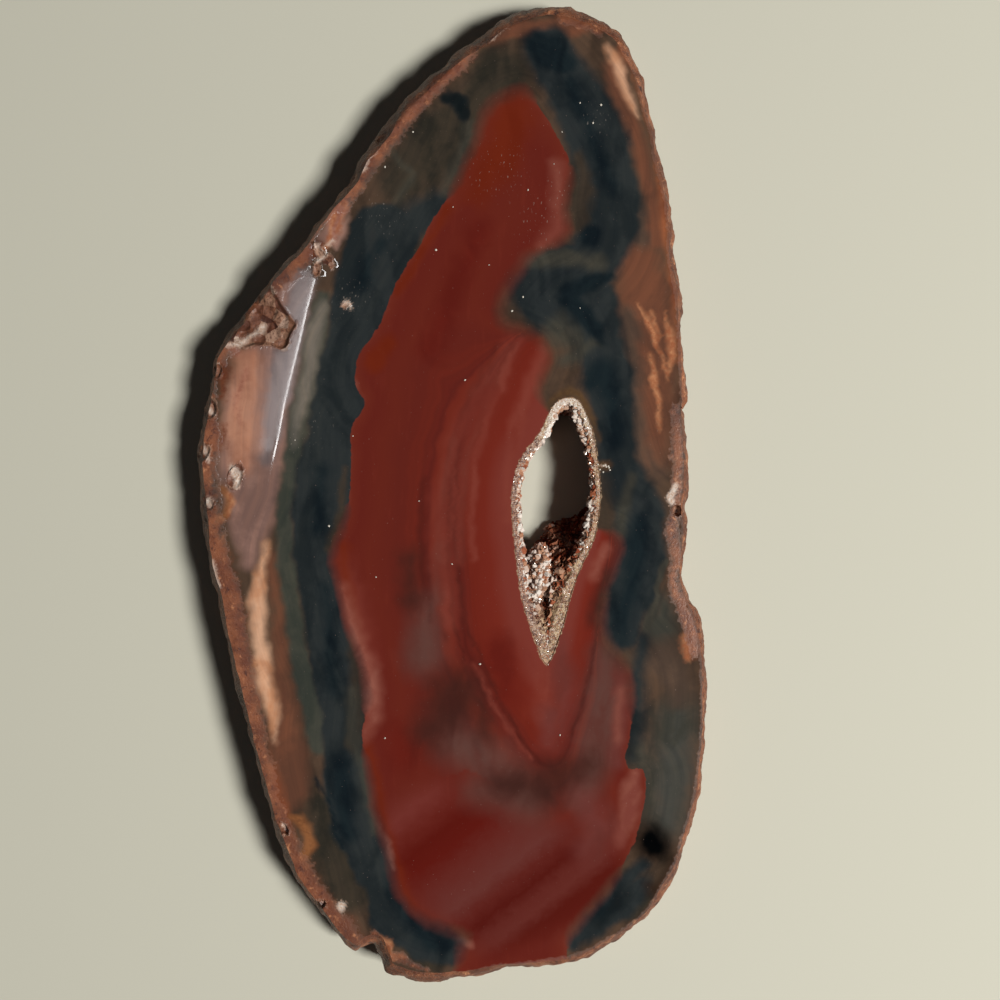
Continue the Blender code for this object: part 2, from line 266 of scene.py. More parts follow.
def rind_ring(depth):
    """One level line of the rind, with its lumps, in the frame."""
    loop = OUTLINE_LOOP * (1 + min(depth, WIDEST_DEPTH) / VIEW_HEIGHT)
    bare = smoothstep(*BARE_RIGHT, loop[:, 0]) * smoothstep(*BARE_TOP, loop[:, 1])
    bare = np.maximum(bare, smoothstep(*BARE_LEFT, loop[:, 0]))
    inset = np.interp(depth, *zip(*RIND_PROFILE)) * (1 - bare * BARE_SHARE * max(0.0, 1 - depth / 1.9))
    coarse = np.interp(depth, (0.0, 0.35, 5.6, 6.0), (EDGE_LUMPS, 1.0, 1.0, EDGE_LUMPS))
    places = at_height(loop, depth)
    shift = coarse * lumps(places, RIND_LUMPS) - inset + lumps(places + 40.0, FINE_LUMPS) * coarse
    return loop + shift[:, None] * outward_normals(loop, 8) + VIEW_MIDDLE


def hollow_loop(height, count):
    """Wall of the hollow at a height, as a loop with the same points at every height."""
    rim, floor = (smooth_loop([pair[k] for pair in HOLLOW], count) for k in (0, 1))
    return floor + (rim - floor) * height / THICKNESS + VIEW_MIDDLE


def grid_over(loop, spacing, shift):
    """An even grid over a loop's box, with each second row shifted by a share of the spacing."""
    low, high = loop.min(axis=0), loop.max(axis=0)
    rows = np.arange(low[1], high[1], spacing * math.sqrt(0.75))
    columns = np.arange(low[0], high[0], spacing)
    return np.array([(x + shift * spacing * (k % 2), y) for k, y in enumerate(rows) for x in columns])


def clear_of(points, loop, gap):
    """The points further than a gap from a closed loop."""
    return points[distance_to(points, loop[::2], closed=True)[0] > gap]


def lattice(outer, inner, spacing):
    """Points of an even triangular lattice between two loops, clear of both."""
    grid = grid_over(outer, spacing, 0.5)
    grid += np.random.default_rng(5).uniform(-0.12, 0.12, grid.shape) * spacing
    grid = grid[inside(grid, outer)]
    grid = grid[~inside(grid, inner)]
    return clear_of(clear_of(grid, outer, 0.5 * spacing), inner, 0.5 * spacing)


def refined(points, outer):
    """The points, with closer ones in the chips and in rows along the crease."""
    crease = along_path(from_view(CREASE_PX[:10]), lambda length: np.arange(0.0, length, CREASE_STEP))
    _, cover = chip_drop(points)
    gap, _ = distance_to(points, crease)
    points = points[(cover < 0.02) & (gap > 0.8)]
    chord = np.gradient(crease, axis=0)
    left = np.column_stack([chord[:, 1], -chord[:, 0]]) / np.linalg.norm(chord, axis=1)[:, None]
    rows = np.vstack([crease + offset * left for offset in CREASE_ROWS])
    fine = grid_over(outer, FINE_SPACING, 0.0)
    near = np.linalg.norm(fine - from_view(BIG_CHIP_MIDDLE_PX), axis=1) < BIG_CHIP_REACH
    for middle, half_length, *_ in CHIPS_PX:
        near |= np.linalg.norm(fine - from_view(middle), axis=1) < 1.3 * half_length * PIXEL
    fine = fine[near]
    fine = fine + np.random.default_rng(8).uniform(-0.2, 0.2, fine.shape) * FINE_SPACING
    fine = fine[(chip_drop(fine)[1] > 0.02) & inside(fine, outer)]
    rows = rows[inside(rows, outer) & (chip_drop(rows)[1] < 0.02)]
    return np.vstack([points, clear_of(rows, outer, 0.2), clear_of(fine, outer, 0.5 * FINE_SPACING)])


def triangles_between(outer, inner, points):
    """Triangles over the outer loop, the inner loop and the points, numbered in that order."""
    everything = np.vstack([outer, inner, points])
    sizes = (len(outer), len(inner))
    edges = [(k, (k + 1) % sizes[0]) for k in range(sizes[0])]
    edges += [(sizes[0] + k, sizes[0] + (k + 1) % sizes[1]) for k in range(sizes[1])]
    made = delaunay_2d_cdt([Vector(place) for place in everything], edges, [], 0, 1e-9)
    if len(made[0]) != len(everything):
        raise ValueError("points of the face coincide")
    faces = np.array(made[2])
    a, b, c = (everything[faces[:, k]] for k in range(3))
    area = (b[:, 0] - a[:, 0]) * (c[:, 1] - a[:, 1]) - (c[:, 0] - a[:, 0]) * (b[:, 1] - a[:, 1])
    faces[area < 0] = faces[area < 0][:, ::-1]
    on_loops = (faces < sum(sizes)).all(axis=1)
    middle = (a + b + c)[on_loops] / 3
    keep = ~on_loops
    keep[on_loops] = inside(middle, outer) & ~inside(middle, inner)
    return faces[keep]


def band_quads(upper, lower, count):
    """Quads between two loops of vertex numbers that start at upper and lower."""
    k = np.arange(count)
    after = (k + 1) % count
    return np.column_stack([upper + k, upper + after, lower + after, lower + k])


def new_object(name, data):
    """An object in the scene that shows the given data."""
    made = bpy.data.objects.new(name, data)
    bpy.context.collection.objects.link(made)
    return made


def new_mesh(name, places, faces, materials, slots=None, smooth=True):
    """An object whose vertices are given in millimetres of the frame."""
    mesh = bpy.data.meshes.new(name)
    mesh.from_pydata((np.asarray(places) * MM).tolist(), [], [list(map(int, face)) for face in faces])
    for material in materials:
        mesh.materials.append(material)
    if slots is not None:
        mesh.polygons.foreach_set("material_index", np.asarray(slots, np.int32))
    mesh.polygons.foreach_set("use_smooth", np.full(len(mesh.polygons), smooth))
    mesh.update()
    return new_object(name, mesh)


def slab_mesh(materials):
    """The whole slab as one closed surface: face, rind, base and the wall of the hollow."""
    rings = [rind_ring(depth) for depth in RIND_LEVELS]
    rims = [hollow_loop(z, RIM_STEPS) for z in np.linspace(THICKNESS, 0.0, WALL_LEVELS)]
    face_points = refined(lattice(rings[0], rims[0], FACE_SPACING), rings[0])
    base_points = lattice(rings[-1], rims[-1], BASE_SPACING)
    places, starts = [], []

    def add(points, heights):
        starts.append(sum(map(len, places)))
        places.append(at_height(points, heights))

    for points in (rings[0], rims[0], face_points):
        add(points, surface_height(points))
    for depth, ring in zip(RIND_LEVELS[1:], rings[1:]):
        add(ring, surface_height(ring) * (1 - depth / THICKNESS))
    for number, rim in enumerate(rims[1:], 1):
        add(rim, THICKNESS * (1 - number / (WALL_LEVELS - 1)))
    add(base_points, 0.0)

    ring_starts = [starts[0], *starts[3:len(rings) + 2]]
    rim_starts = [starts[1], *starts[len(rings) + 2:-1]]
    base_numbers = np.concatenate([start + np.arange(count) for start, count in (
        (ring_starts[-1], OUTLINE_STEPS), (rim_starts[-1], RIM_STEPS), (starts[-1], len(base_points)))])
    rind = [band_quads(*pair, OUTLINE_STEPS) for pair in zip(ring_starts, ring_starts[1:])]
    wall = [band_quads(*pair, RIM_STEPS)[:, ::-1] for pair in zip(rim_starts, rim_starts[1:])]
    groups = [triangles_between(rings[0], rims[0], face_points), np.vstack(rind),
              base_numbers[triangles_between(rings[-1], rims[-1], base_points)[:, ::-1]], np.vstack(wall)]
    slots = np.concatenate([np.full(len(group), slot) for slot, group in enumerate(groups)])
    faces = [face for group in groups for face in group.tolist()]
    slab = new_mesh("agate_polished", np.vstack(places), faces, materials, slots)
    slab.data.set_sharp_from_angle(angle=SHARP_ANGLE)
    return slab


# The paint: outlines and strokes in pixels. CORE_PX is the outline of the red core, CHEVRON_PX the
# line round the hollow that the core's bands follow
CORE_PX = (
    (520, 90), (532, 97), (543, 112), (552, 127), (561, 144), (568, 157), (571, 172), (569, 187),
    (567, 200), (565, 211), (569, 224), (570, 231), (561, 241), (550, 246), (541, 250), (528, 258),
    (522, 269), (512, 280), (500, 300), (498, 315), (505, 325), (520, 329), (537, 336), (545, 344),
    (550, 357), (546, 370), (541, 381), (538, 391), (543, 404), (560, 430), (575, 480), (590, 520),
    (600, 530), (613, 534), (621, 546), (616, 562), (608, 582), (602, 602), (600, 625), (604, 645),
    (618, 660), (630, 675), (632, 700), (630, 735), (625, 758), (630, 769), (642, 769), (646, 785),
    (642, 814), (636, 838), (625, 860), (610, 885), (590, 908), (574, 928), (567, 945), (562, 975),
    (510, 985), (455, 985), (458, 961), (463, 948), (467, 939), (455, 930), (439, 924), (425, 920),
    (413, 913), (405, 903), (397, 892), (391, 860), (386, 842), (379, 822), (373, 806), (371, 787),
    (368, 772), (364, 755), (362, 740), (364, 721), (367, 699), (365, 679), (361, 660), (355, 645),
    (348, 632), (344, 621), (341, 604), (338, 589), (334, 574), (331, 560), (335, 546), (340, 534),
    (346, 520), (349, 501), (351, 475), (351, 437), (353, 424), (359, 415), (365, 402), (357, 389),
    (355, 379), (357, 361), (363, 348), (371, 338), (380, 324), (386, 309), (391, 295), (398, 281),
    (408, 263), (421, 244), (430, 224), (441, 207), (449, 198), (460, 179), (466, 164), (475, 149),
    (482, 120), (490, 107), (502, 97),
)
CHEVRON_PX = (
    (452, 525), (458, 560), (462, 600), (465, 640), (472, 660), (480, 680), (490, 700), (505, 720),
    (520, 745), (530, 757), (545, 765), (560, 762), (570, 740), (580, 710), (587, 690), (592, 665),
    (597, 640), (602, 600), (608, 560), (612, 520), (612, 470), (608, 430), (600, 395), (585, 365),
    (565, 345), (545, 325), (525, 330), (505, 350), (485, 385), (468, 420), (457, 460), (452, 500),
)
# Direction across the slanting stripes low in the core, in the picture
LEAN_ACROSS = (0.616, 0.788)

# How far noise bends the strokes, its size, and where it is read for across and along
STROKE_WARPS = ((0.35, 3.0), (0.28, 1.1), (0.10, 0.45))
WARP_SHIFTS = (11.0, 57.0)
# Masks that only steer the materials. A stroke is its softness, then each of its points with the
# half width there, in pixels
GUIDES = {
    "soft": (
        (40, 520, 255, 20, 505, 290, 24, 505, 320, 20, 540, 350, 16, 540, 390, 8), (30, 560, 240, 10,
         572, 180, 6), (30, 605, 600, 10, 610, 660, 26, 630, 700, 8), (28, 616, 542, 12, 609, 575, 12),
        (20, 520, 92, 14, 490, 100, 12, 455, 185, 6), (20, 615, 880, 10, 575, 930, 10), (16, 470, 935, 8),
        (24, 368, 760, 4, 380, 830, 10, 392, 880, 8, 425, 925, 12, 455, 935, 14, 464, 960, 8),
        (20, 368, 700, 8, 356, 650, 5, 342, 600, 3, 334, 560, 6, 345, 515, 5),
    ),
    "matt": (
        (8, 307, 278, 9, 291, 340, 11, 281, 385, 11, 271, 430, 9),
    ),
    "lean_zone": (
        (50, 425, 835, 50, 500, 880, 72, 590, 880, 40),
    ),
    "scuffed": (
        (30, 382, 215, 12), (30, 560, 190, 10, 535, 235, 12), (30, 350, 300, 12), (24, 318, 425, 8,
         300, 440, 8), (40, 500, 170, 20), (24, 597, 122, 8),
    ),
    "skin": (
        (20, 202, 380, 6, 205, 440, 10, 206, 500, 9, 213, 560, 12, 226, 600, 14, 234, 650, 12, 246, 700, 11,
         258, 740, 8, 268, 790, 7, 288, 840, 8, 308, 885, 8, 333, 920, 10, 350, 940, 9), (16, 490, 30, 2,
         462, 60, 5, 430, 92, 5, 400, 128, 6, 370, 165, 6, 345, 205, 5), (18, 300, 258, 10, 280, 276, 9,
         225, 345, 7, 212, 365, 7), (12, 677, 405, 3, 677, 440, 6, 678, 480, 5, 674, 530, 6, 674, 575, 5,
         684, 615, 7, 695, 650, 4), (8, 375, 935, 4, 390, 955, 5, 430, 972, 2), (8, 560, 20, 3, 600, 35, 2),
    ),
}
# Layers of paint from the bottom up: two colours each varies between, how ragged its edge is, how
# much of what is under it it covers, and its strokes
OUTER_LAYERS = {
    "rust": ((112, 71, 54), (94, 62, 49), 0.5, 1.0, (
        (30, 640, 262, 24, 648, 330, 28, 650, 400, 24, 652, 455, 16), (16, 616, 70, 12, 626, 110, 10,
         640, 150, 8, 652, 200, 8, 656, 240, 12), (24, 290, 790, 16, 288, 750, 18, 284, 705, 10,
         279, 650, 9, 277, 600, 6, 270, 560, 5), (18, 345, 925, 10, 330, 905, 10, 355, 940, 8),
        (12, 470, 40, 8, 520, 28, 9, 580, 30, 9), (16, 682, 868, 4, 660, 905, 4),
    )),
    "dusk": ((60, 53, 45), (43, 41, 36), 0.4, 1.0, (
        (30, 500, 72, 28, 470, 108, 24, 430, 150, 34, 402, 182, 24), (24, 575, 170, 12, 585, 215, 12),
        (24, 322, 805, 14, 332, 850, 20, 348, 895, 20), (30, 405, 165, 14, 425, 190, 10), (16, 430, 958, 16,
         410, 950, 10), (24, 668, 868, 12, 652, 895, 14, 632, 915, 8),
    )),
    "ashen": ((68, 68, 64), (58, 58, 53), 0.5, 1.0, (
        (40, 676, 720, 20, 674, 770, 26, 668, 820, 20), (26, 660, 630, 12, 664, 600, 6),
    )),
    "taupe": ((92, 74, 63), (76, 62, 54), 0.6, 0.9, (
        (30, 665, 665, 18, 680, 690, 12), (30, 645, 450, 10, 655, 475, 8), (22, 628, 315, 8, 631, 370, 10,
         636, 420, 11, 641, 460, 8), (20, 638, 205, 6, 641, 240, 10),
    )),
    # Painted sheen over the worn slope's own mauve, left of the crease
    "sheen": ((150, 116, 106), (122, 94, 87), 0.4, 1.0, (
        (20, 292, 292, 18, 276, 345, 22, 258, 400, 34, 252, 460, 34, 250, 520, 22, 248, 560, 8),
        (12, 345, 200, 6, 328, 235, 10),
    )),
    # Painted sheen: a pale lilac band just left of the crease, where the worn slope mirrors the light
    "lilac": ((126, 114, 116), (108, 96, 97), 0.4, 0.85, (
        (14, 303, 280, 10, 296, 310, 13, 288, 345, 14, 280, 385, 14, 272, 425, 11, 266, 460, 6),
    )),
    "peach": ((194, 140, 114), (166, 114, 92), 0.4, 0.85, (
        (26, 246, 365, 14, 242, 400, 14, 238, 430, 16, 240, 462, 10),
    )),
    "cream": ((220, 174, 144), (194, 138, 104), 0.5, 0.95, (
        (14, 266, 545, 1, 260, 575, 5, 257, 600, 8, 259, 640, 7, 264, 680, 9, 272, 712, 5, 277, 740, 1),
        (14, 608, 46, 1, 617, 60, 6, 623, 78, 5, 632, 100, 3, 640, 118, 1),
    )),
    "ginger": ((164, 96, 62), (134, 74, 50), 0.6, 0.75, (
        (12, 622, 45, 2, 640, 85, 2, 652, 140, 2, 662, 190, 3, 665, 225, 5, 670, 262, 4, 676, 310, 2,
         680, 360, 2), (12, 560, 14, 2, 600, 28, 3), (14, 684, 600, 3, 690, 628, 4, 694, 650, 3),
        (14, 480, 40, 3, 440, 80, 3, 400, 125, 3, 362, 172, 4, 330, 220, 4), (16, 270, 770, 4, 280, 800, 5,
         300, 870, 5, 330, 915, 5),
    )),
    "olive": ((68, 70, 63), (54, 59, 54), 0.4, 0.95, (
        (10, 322, 300, 9, 316, 340, 12, 310, 375, 13, 302, 410, 12, 296, 440, 10, 290, 480, 8, 284, 520, 9,
         286, 560, 9, 292, 600, 9, 298, 650, 9, 306, 690, 10, 316, 725, 11, 318, 750, 7),
    )),
    "navy": ((44, 49, 51), (32, 38, 41), 0.3, 1.0, (
        (8, 385, 235, 34, 375, 265, 34, 365, 300, 34, 356, 335, 30, 350, 365, 30, 345, 400, 32,
         336, 440, 30, 328, 480, 33, 322, 520, 30, 326, 560, 32, 330, 600, 28, 336, 640, 29, 345, 680, 32,
         352, 720, 30, 352, 760, 30, 356, 800, 30, 366, 830, 32, 378, 855, 30, 392, 880, 28, 400, 910, 32,
         430, 938, 26, 452, 950, 16), (20, 440, 205, 16, 410, 222, 20), (14, 548, 50, 24, 568, 80, 26,
         585, 115, 30, 600, 150, 32, 612, 190, 28, 615, 225, 26, 590, 262, 30, 555, 290, 42, 590, 305, 30,
         600, 340, 22, 608, 375, 26, 614, 420, 20, 618, 470, 22, 640, 515, 26, 640, 550, 26, 632, 590, 26,
         622, 630, 20), (24, 520, 285, 14, 545, 310, 20), (20, 640, 640, 8, 637, 700, 9, 634, 755, 9),
        (12, 645, 885, 10, 620, 904, 16, 592, 926, 14, 573, 944, 7), (14, 642, 866, 7, 624, 886, 10),
    )),
    "brown": ((66, 56, 47), (52, 45, 39), 0.4, 0.95, (
        (14, 578, 155, 5, 585, 190, 9, 580, 222, 6), (14, 350, 640, 3, 356, 680, 5, 358, 720, 5,
         354, 748, 4), (10, 344, 470, 3, 340, 520, 4, 330, 550, 3), (24, 600, 650, 14, 618, 665, 12),
        (20, 600, 480, 5, 606, 520, 8),
    )),
    "smoke": ((72, 70, 62), (56, 55, 50), 0.5, 0.9, (
        (18, 598, 343, 3, 580, 352, 8, 564, 360, 6), (22, 560, 328, 14, 575, 342, 10), (14, 632, 478, 3,
         624, 510, 6, 618, 545, 4), (14, 520, 262, 6, 560, 258, 9, 600, 262, 6), (16, 352, 690, 4,
         352, 725, 5, 370, 800, 4, 374, 830, 4), (14, 392, 150, 2, 412, 175, 3, 398, 200, 3),
        (18, 470, 125, 4, 460, 160, 4, 445, 190, 3), (5, 664, 560, 2.5, 655, 600, 3, 648, 632, 2.5),
        (20, 640, 750, 6, 650, 800, 5),
    )),
    # Painted haze beside the crease's highlight, over the stone's own grey-olive right of the crease
    "mist": ((122, 114, 106), (102, 97, 90), 0.4, 0.85, (
        (14, 324, 306, 4, 314, 330, 8, 311, 362, 8, 304, 392, 8, 299, 418, 5, 295, 442, 2),
    )),
    "peat": ((52, 36, 27), (46, 32, 24), 0.4, 0.85, (
        (24, 670, 862, 6, 658, 886, 10),
    )),
    # Painted highlight along the upper end of the crease
    "flesh": ((180, 144, 132), (158, 122, 110), 0.5, 0.8, (
        (10, 348, 220, 2, 341, 232, 4, 334, 246, 2),
    )),
    "pitch": ((19, 32, 38), (12, 22, 29), 0.4, 0.8, (
        (9, 447, 97, 7, 462, 104, 8, 464, 116, 6), (12, 532, 40, 10, 550, 52, 18, 566, 62, 12),
        (22, 570, 84, 9, 582, 110, 8, 598, 150, 7, 612, 190, 6), (10, 590, 236, 10), (10, 610, 274, 4,
         588, 282, 9, 568, 294, 9, 580, 312, 9, 596, 328, 8, 602, 342, 4), (18, 588, 382, 11, 604, 372, 14,
         612, 400, 10, 615, 440, 8), (20, 640, 520, 8, 636, 550, 14, 630, 585, 12), (18, 340, 765, 10,
         342, 800, 11, 348, 835, 9), (24, 325, 590, 6, 330, 640, 8, 335, 690, 6), (24, 322, 470, 6,
         318, 530, 7), (20, 380, 245, 8, 362, 285, 8), (20, 392, 880, 8, 410, 915, 12, 430, 942, 12,
         448, 945, 8), (24, 630, 585, 12, 624, 612, 14, 622, 640, 8), (16, 600, 915, 7, 616, 902, 6),
        (5, 317, 778, 2, 328, 797, 2, 333, 822, 2, 343, 850, 1.5),
    )),
    "ink": ((17, 24, 27), (24, 28, 30), 0.2, 0.9, (
        (9, 445, 97, 5, 461, 102, 6, 465, 115, 5), (26, 598, 925, 6, 612, 908, 7, 628, 892, 5),
        (22, 630, 750, 4, 634, 715, 3),
    )),
    "spot": ((3, 4, 5), (1, 2, 3), 0.2, 1.0, (
        (26, 650, 840, 17, 654, 846, 17),
    )),
}
CORE_LAYERS = {
    "crimson": ((98, 28, 21), (88, 24, 19), 0.4, 0.75, (
        (34, 405, 752, 18, 395, 730, 8), (36, 500, 655, 18, 512, 695, 12), (30, 480, 230, 10, 450, 300, 10,
         430, 350, 10),
    )),
    "veil": ((92, 66, 61), (88, 55, 50), 0.3, 0.8, (
        (40, 430, 605, 12, 424, 655, 20), (44, 458, 742, 22, 490, 765, 26, 530, 800, 20, 480, 790, 14),
        (36, 606, 655, 12, 604, 700, 20, 598, 750, 20, 580, 795, 14), (20, 440, 545, 3, 438, 600, 7),
    )),
    "umber": ((64, 35, 30), (56, 31, 27), 0.3, 0.85, (
        (44, 456, 698, 30, 430, 735, 16), (30, 478, 700, 8, 486, 735, 10), (40, 502, 785, 10, 545, 784, 22,
         584, 764, 12), (36, 410, 560, 8, 412, 600, 8), (24, 606, 574, 2, 600, 598, 5, 593, 622, 4),
    )),
    "line": ((62, 26, 22), (72, 28, 24), 0.3, 0.65, (
        (6, 450, 490, 1, 448, 560, 1.6, 454, 620, 1.6, 465, 660, 1), (6, 458, 470, 1, 455, 530, 1.6,
         459, 590, 1.6, 471, 645, 1), (7, 476, 645, 1, 486, 672, 1.6, 500, 700, 1.6, 515, 728, 1.8,
         530, 750, 2, 545, 764, 1.5), (7, 597, 640, 1, 590, 672, 1.4, 581, 705, 1.6, 573, 735, 1.4),
        (12, 514, 345, 1, 496, 380, 2, 480, 420, 2, 467, 460, 2, 461, 510, 2, 464, 560, 1),
        (12, 498, 345, 1, 470, 400, 2, 450, 450, 2, 441, 520, 2, 440, 580, 2, 446, 640, 1),
        (12, 424, 480, 1, 420, 540, 2, 426, 590, 2, 433, 620, 1),
    )),
    "rose": ((128, 62, 52), (118, 50, 41), 0.4, 0.75, (
        (8, 520, 338, 2, 505, 368, 5, 488, 410, 5, 478, 450, 4, 472, 500, 4, 474, 560, 3), (14, 545, 350, 6,
         530, 385, 8, 518, 420, 7, 509, 470, 4, 507, 520, 4), (16, 455, 470, 3, 450, 540, 3),
        (30, 550, 680, 14, 545, 715, 10), (7, 474, 664, 1, 489, 696, 2, 509, 730, 2, 532, 758, 2),
        (30, 345, 560, 4, 352, 590, 9, 360, 625, 8, 372, 660, 4), (26, 516, 342, 3, 492, 390, 6,
         472, 440, 6, 460, 500, 5, 458, 560, 4), (24, 508, 345, 3, 482, 390, 5, 454, 440, 6, 441, 500, 7,
         442, 560, 8, 450, 620, 7),
    )),
    "mauve": ((108, 56, 52), (98, 50, 46), 0.3, 0.8, (
        (34, 585, 800, 12, 600, 828, 16, 585, 850, 10), (26, 550, 715, 12, 549, 742, 8), (22, 622, 672, 5,
         622, 715, 7, 616, 760, 6), (30, 560, 640, 6, 566, 690, 10, 560, 730, 6),
    )),
    "ember": ((110, 38, 18), (104, 34, 15), 0.4, 0.8, (
        (14, 374, 362, 11, 390, 342, 6), (16, 345, 548, 5, 348, 585, 5, 354, 620, 5, 362, 652, 3),
        (40, 510, 118, 22, 497, 160, 20, 475, 195, 8), (14, 398, 290, 4, 425, 245, 4, 450, 208, 4),
        (16, 370, 750, 4, 378, 800, 4, 394, 860, 4, 412, 905, 4),
    )),
    "blush": ((148, 92, 80), (126, 66, 56), 0.3, 0.85, (
        (20, 345, 585, 2, 354, 632, 6, 365, 660, 9, 372, 690, 10, 372, 715, 8, 366, 738, 3),
        (26, 556, 165, 3, 560, 195, 4, 558, 228, 5, 545, 244, 3), (8, 378, 825, 1, 388, 845, 3,
         392, 870, 2), (14, 350, 395, 2, 356, 385, 3), (14, 606, 548, 5, 594, 575, 4), (10, 460, 940, 2,
         468, 945, 3),
    )),
    "salmon": ((138, 82, 70), (120, 62, 54), 0.3, 0.95, (
        (14, 636, 774, 5, 630, 790, 10, 630, 812, 9, 620, 838, 5), (20, 620, 690, 2, 618, 740, 3),
    )),
}
TOP_LAYERS = {
    "gilt": ((98, 72, 44), (80, 58, 40), 0.3, 0.9, (
        (10, 599, 468, 4, 606, 465, 5, 610, 462, 2), (10, 548, 406, 0, 556, 396, 2, 567, 391, 3,
         580, 397, 3, 591, 414, 2, 598, 440, 0),
    )),
    "amber": ((148, 96, 60), (120, 76, 48), 0.5, 0.85, (
        (8, 293, 818, 3, 303, 822, 6, 308, 830, 5, 311, 842, 7, 304, 856, 4), (8, 222, 488, 4, 230, 500, 4,
         226, 515, 4, 216, 522, 3),
    )),
    "petal": ((176, 120, 102), (142, 88, 74), 0.5, 0.75, (
        (18, 396, 130, 2, 420, 100, 3, 442, 80, 3, 470, 54, 2), (12, 346, 204, 3, 330, 238, 4),
        (12, 246, 372, 2, 238, 392, 3, 240, 420, 2), (12, 225, 330, 2, 236, 356, 3),
    )),
    "russet": ((126, 70, 46), (96, 48, 34), 0.9, 0.9, (
        (16, 214, 352, 4, 220, 372, 5, 222, 395, 4), (14, 224, 425, 3, 218, 448, 4), (14, 204, 400, 6,
         210, 430, 9, 206, 470, 5), (18, 212, 528, 4, 222, 560, 8, 232, 600, 8, 240, 640, 6, 246, 680, 6,
         256, 720, 4, 266, 760, 3), (14, 286, 860, 4, 312, 890, 4, 338, 925, 5), (14, 300, 256, 8,
         318, 248, 5),
    )),
    "tongues": ((208, 146, 106), (158, 96, 66), 0.7, 0.9, (
        (6, 638, 304, 0.5, 645, 318, 2.5, 654, 330, 3, 658, 346, 2, 660, 358, 0.5), (6, 650, 313, 0.5,
         657, 326, 2, 662, 338, 0.5), (7, 667, 312, 0.5, 671, 335, 2.5, 672, 355, 3, 668, 378, 0.5),
        (7, 650, 356, 0.5, 652, 378, 3, 660, 398, 2.5, 660, 430, 0.5), (6, 661, 352, 0.5, 664, 368, 1.5,
         667, 376, 0.5), (7, 228, 492, 1, 234, 503, 2, 228, 514, 1), (8, 334, 215, 1, 326, 240, 2,
         320, 252, 1), (8, 348, 205, 1, 338, 232, 2), (9, 376, 936, 2, 388, 945, 4, 391, 960, 2),
        (9, 684, 638, 2, 688, 655, 2),
    )),
}
LAST_LAYERS = {
    # Pale marks: white flecks and pits of the stone, and painted glints on the chips' edges and facets
    "chalk": ((228, 218, 210), (190, 160, 142), 0.9, 0.95, (
        (4, 676, 484, 2.5, 670, 496, 4, 672, 502, 3), (6, 211, 562, 1.5, 217, 588, 1.5), (6, 342, 906, 4.5),
        (7, 206, 503, 4), (6, 232, 468, 2, 238, 476, 5, 236, 486, 2), (6, 201, 446, 2, 210, 461, 1.5),
        (5, 514, 18, 1, 466, 53, 1.5, 461, 57, 1), (5, 380, 140, 1, 362, 172, 1.5), (3, 604, 466, 2),
        (6, 284, 828, 2.5), (7, 226, 342, 1.5, 238, 343, 2, 250, 336, 2, 262, 326, 3), (6, 318, 262, 2,
         326, 256, 1.5), (6, 322, 246, 1, 332, 238, 1), (6, 346, 302, 2, 350, 308, 1), (6, 205, 408, 2,
         212, 415, 1),
    )),
}


def stroke_mask(places, strokes):
    """How fully each place is covered by any of the strokes."""
    mask = np.zeros(len(places))
    for softness, *route in strokes:
        route = np.reshape(np.array(route * 2 if len(route) == 3 else route, float), (-1, 3))
        gap, along = distance_to(places, from_view(route))
        half_width = np.interp(along, np.arange(len(route)), route[:, 2])
        mask = np.maximum(mask, 0.5 + (half_width * PIXEL - gap) / (softness * PIXEL))
    return np.clip(mask, 0.0, 1.0)


def painted(points):
    """Values of every attribute of the paint at each place."""
    places = points + sum(
        reach * np.column_stack([noise_at(at_height(points + shift, 0.0), size) for shift in WARP_SHIFTS])
        for reach, size in STROKE_WARPS)
    strokes = dict(GUIDES)
    for layers in (OUTER_LAYERS, CORE_LAYERS, TOP_LAYERS, LAST_LAYERS):
        strokes.update({name: layer[-1] for name, layer in layers.items()})
    values = {name: stroke_mask(places, drawn) for name, drawn in strokes.items()}
    rim = signed_distance(points, hollow_loop(THICKNESS, 80))
    chevron = signed_distance(points, smooth_loop(from_view(CHEVRON_PX), 160))
    core = signed_distance(points, smooth_loop(from_view(CORE_PX), 320))
    near = np.clip(rim, 0, None) / np.clip(rim - chevron, 1e-6, None)
    far = 1 + np.clip(chevron, 0, None) / np.clip(chevron - core, 1e-6, None)
    values["band"] = np.where(chevron < 0, np.clip(near, 0, 1), np.clip(far, 1, BAND_END))
    values["core"], values["rim"] = core, rim
    values["edge"] = -signed_distance(points, OUTLINE_LOOP[::4] + VIEW_MIDDLE)
    values["lean"] = ((points - VIEW_MIDDLE) * (1, -1) / PIXEL + PICTURE_MIDDLE) @ LEAN_ACROSS
    values["chip"] = chip_drop(points)[1]
    return values


def store(piece, name, values):
    """Keep a value for each vertex of a piece, for its materials."""
    attribute = piece.data.attributes.new(name, "FLOAT", "POINT")
    attribute.data.foreach_set("value", np.asarray(values, np.float32))


def linear(colour):
    """Linear colour of a picture's colour from 0 to 255. One with four parts is linear already."""
    if len(colour) == 4:
        return colour
    parts = [c / 255 for c in colour]
    return tuple(c / 12.92 if c <= 0.04045 else ((c + 0.055) / 1.055) ** 2.4 for c in parts) + (1.0,)


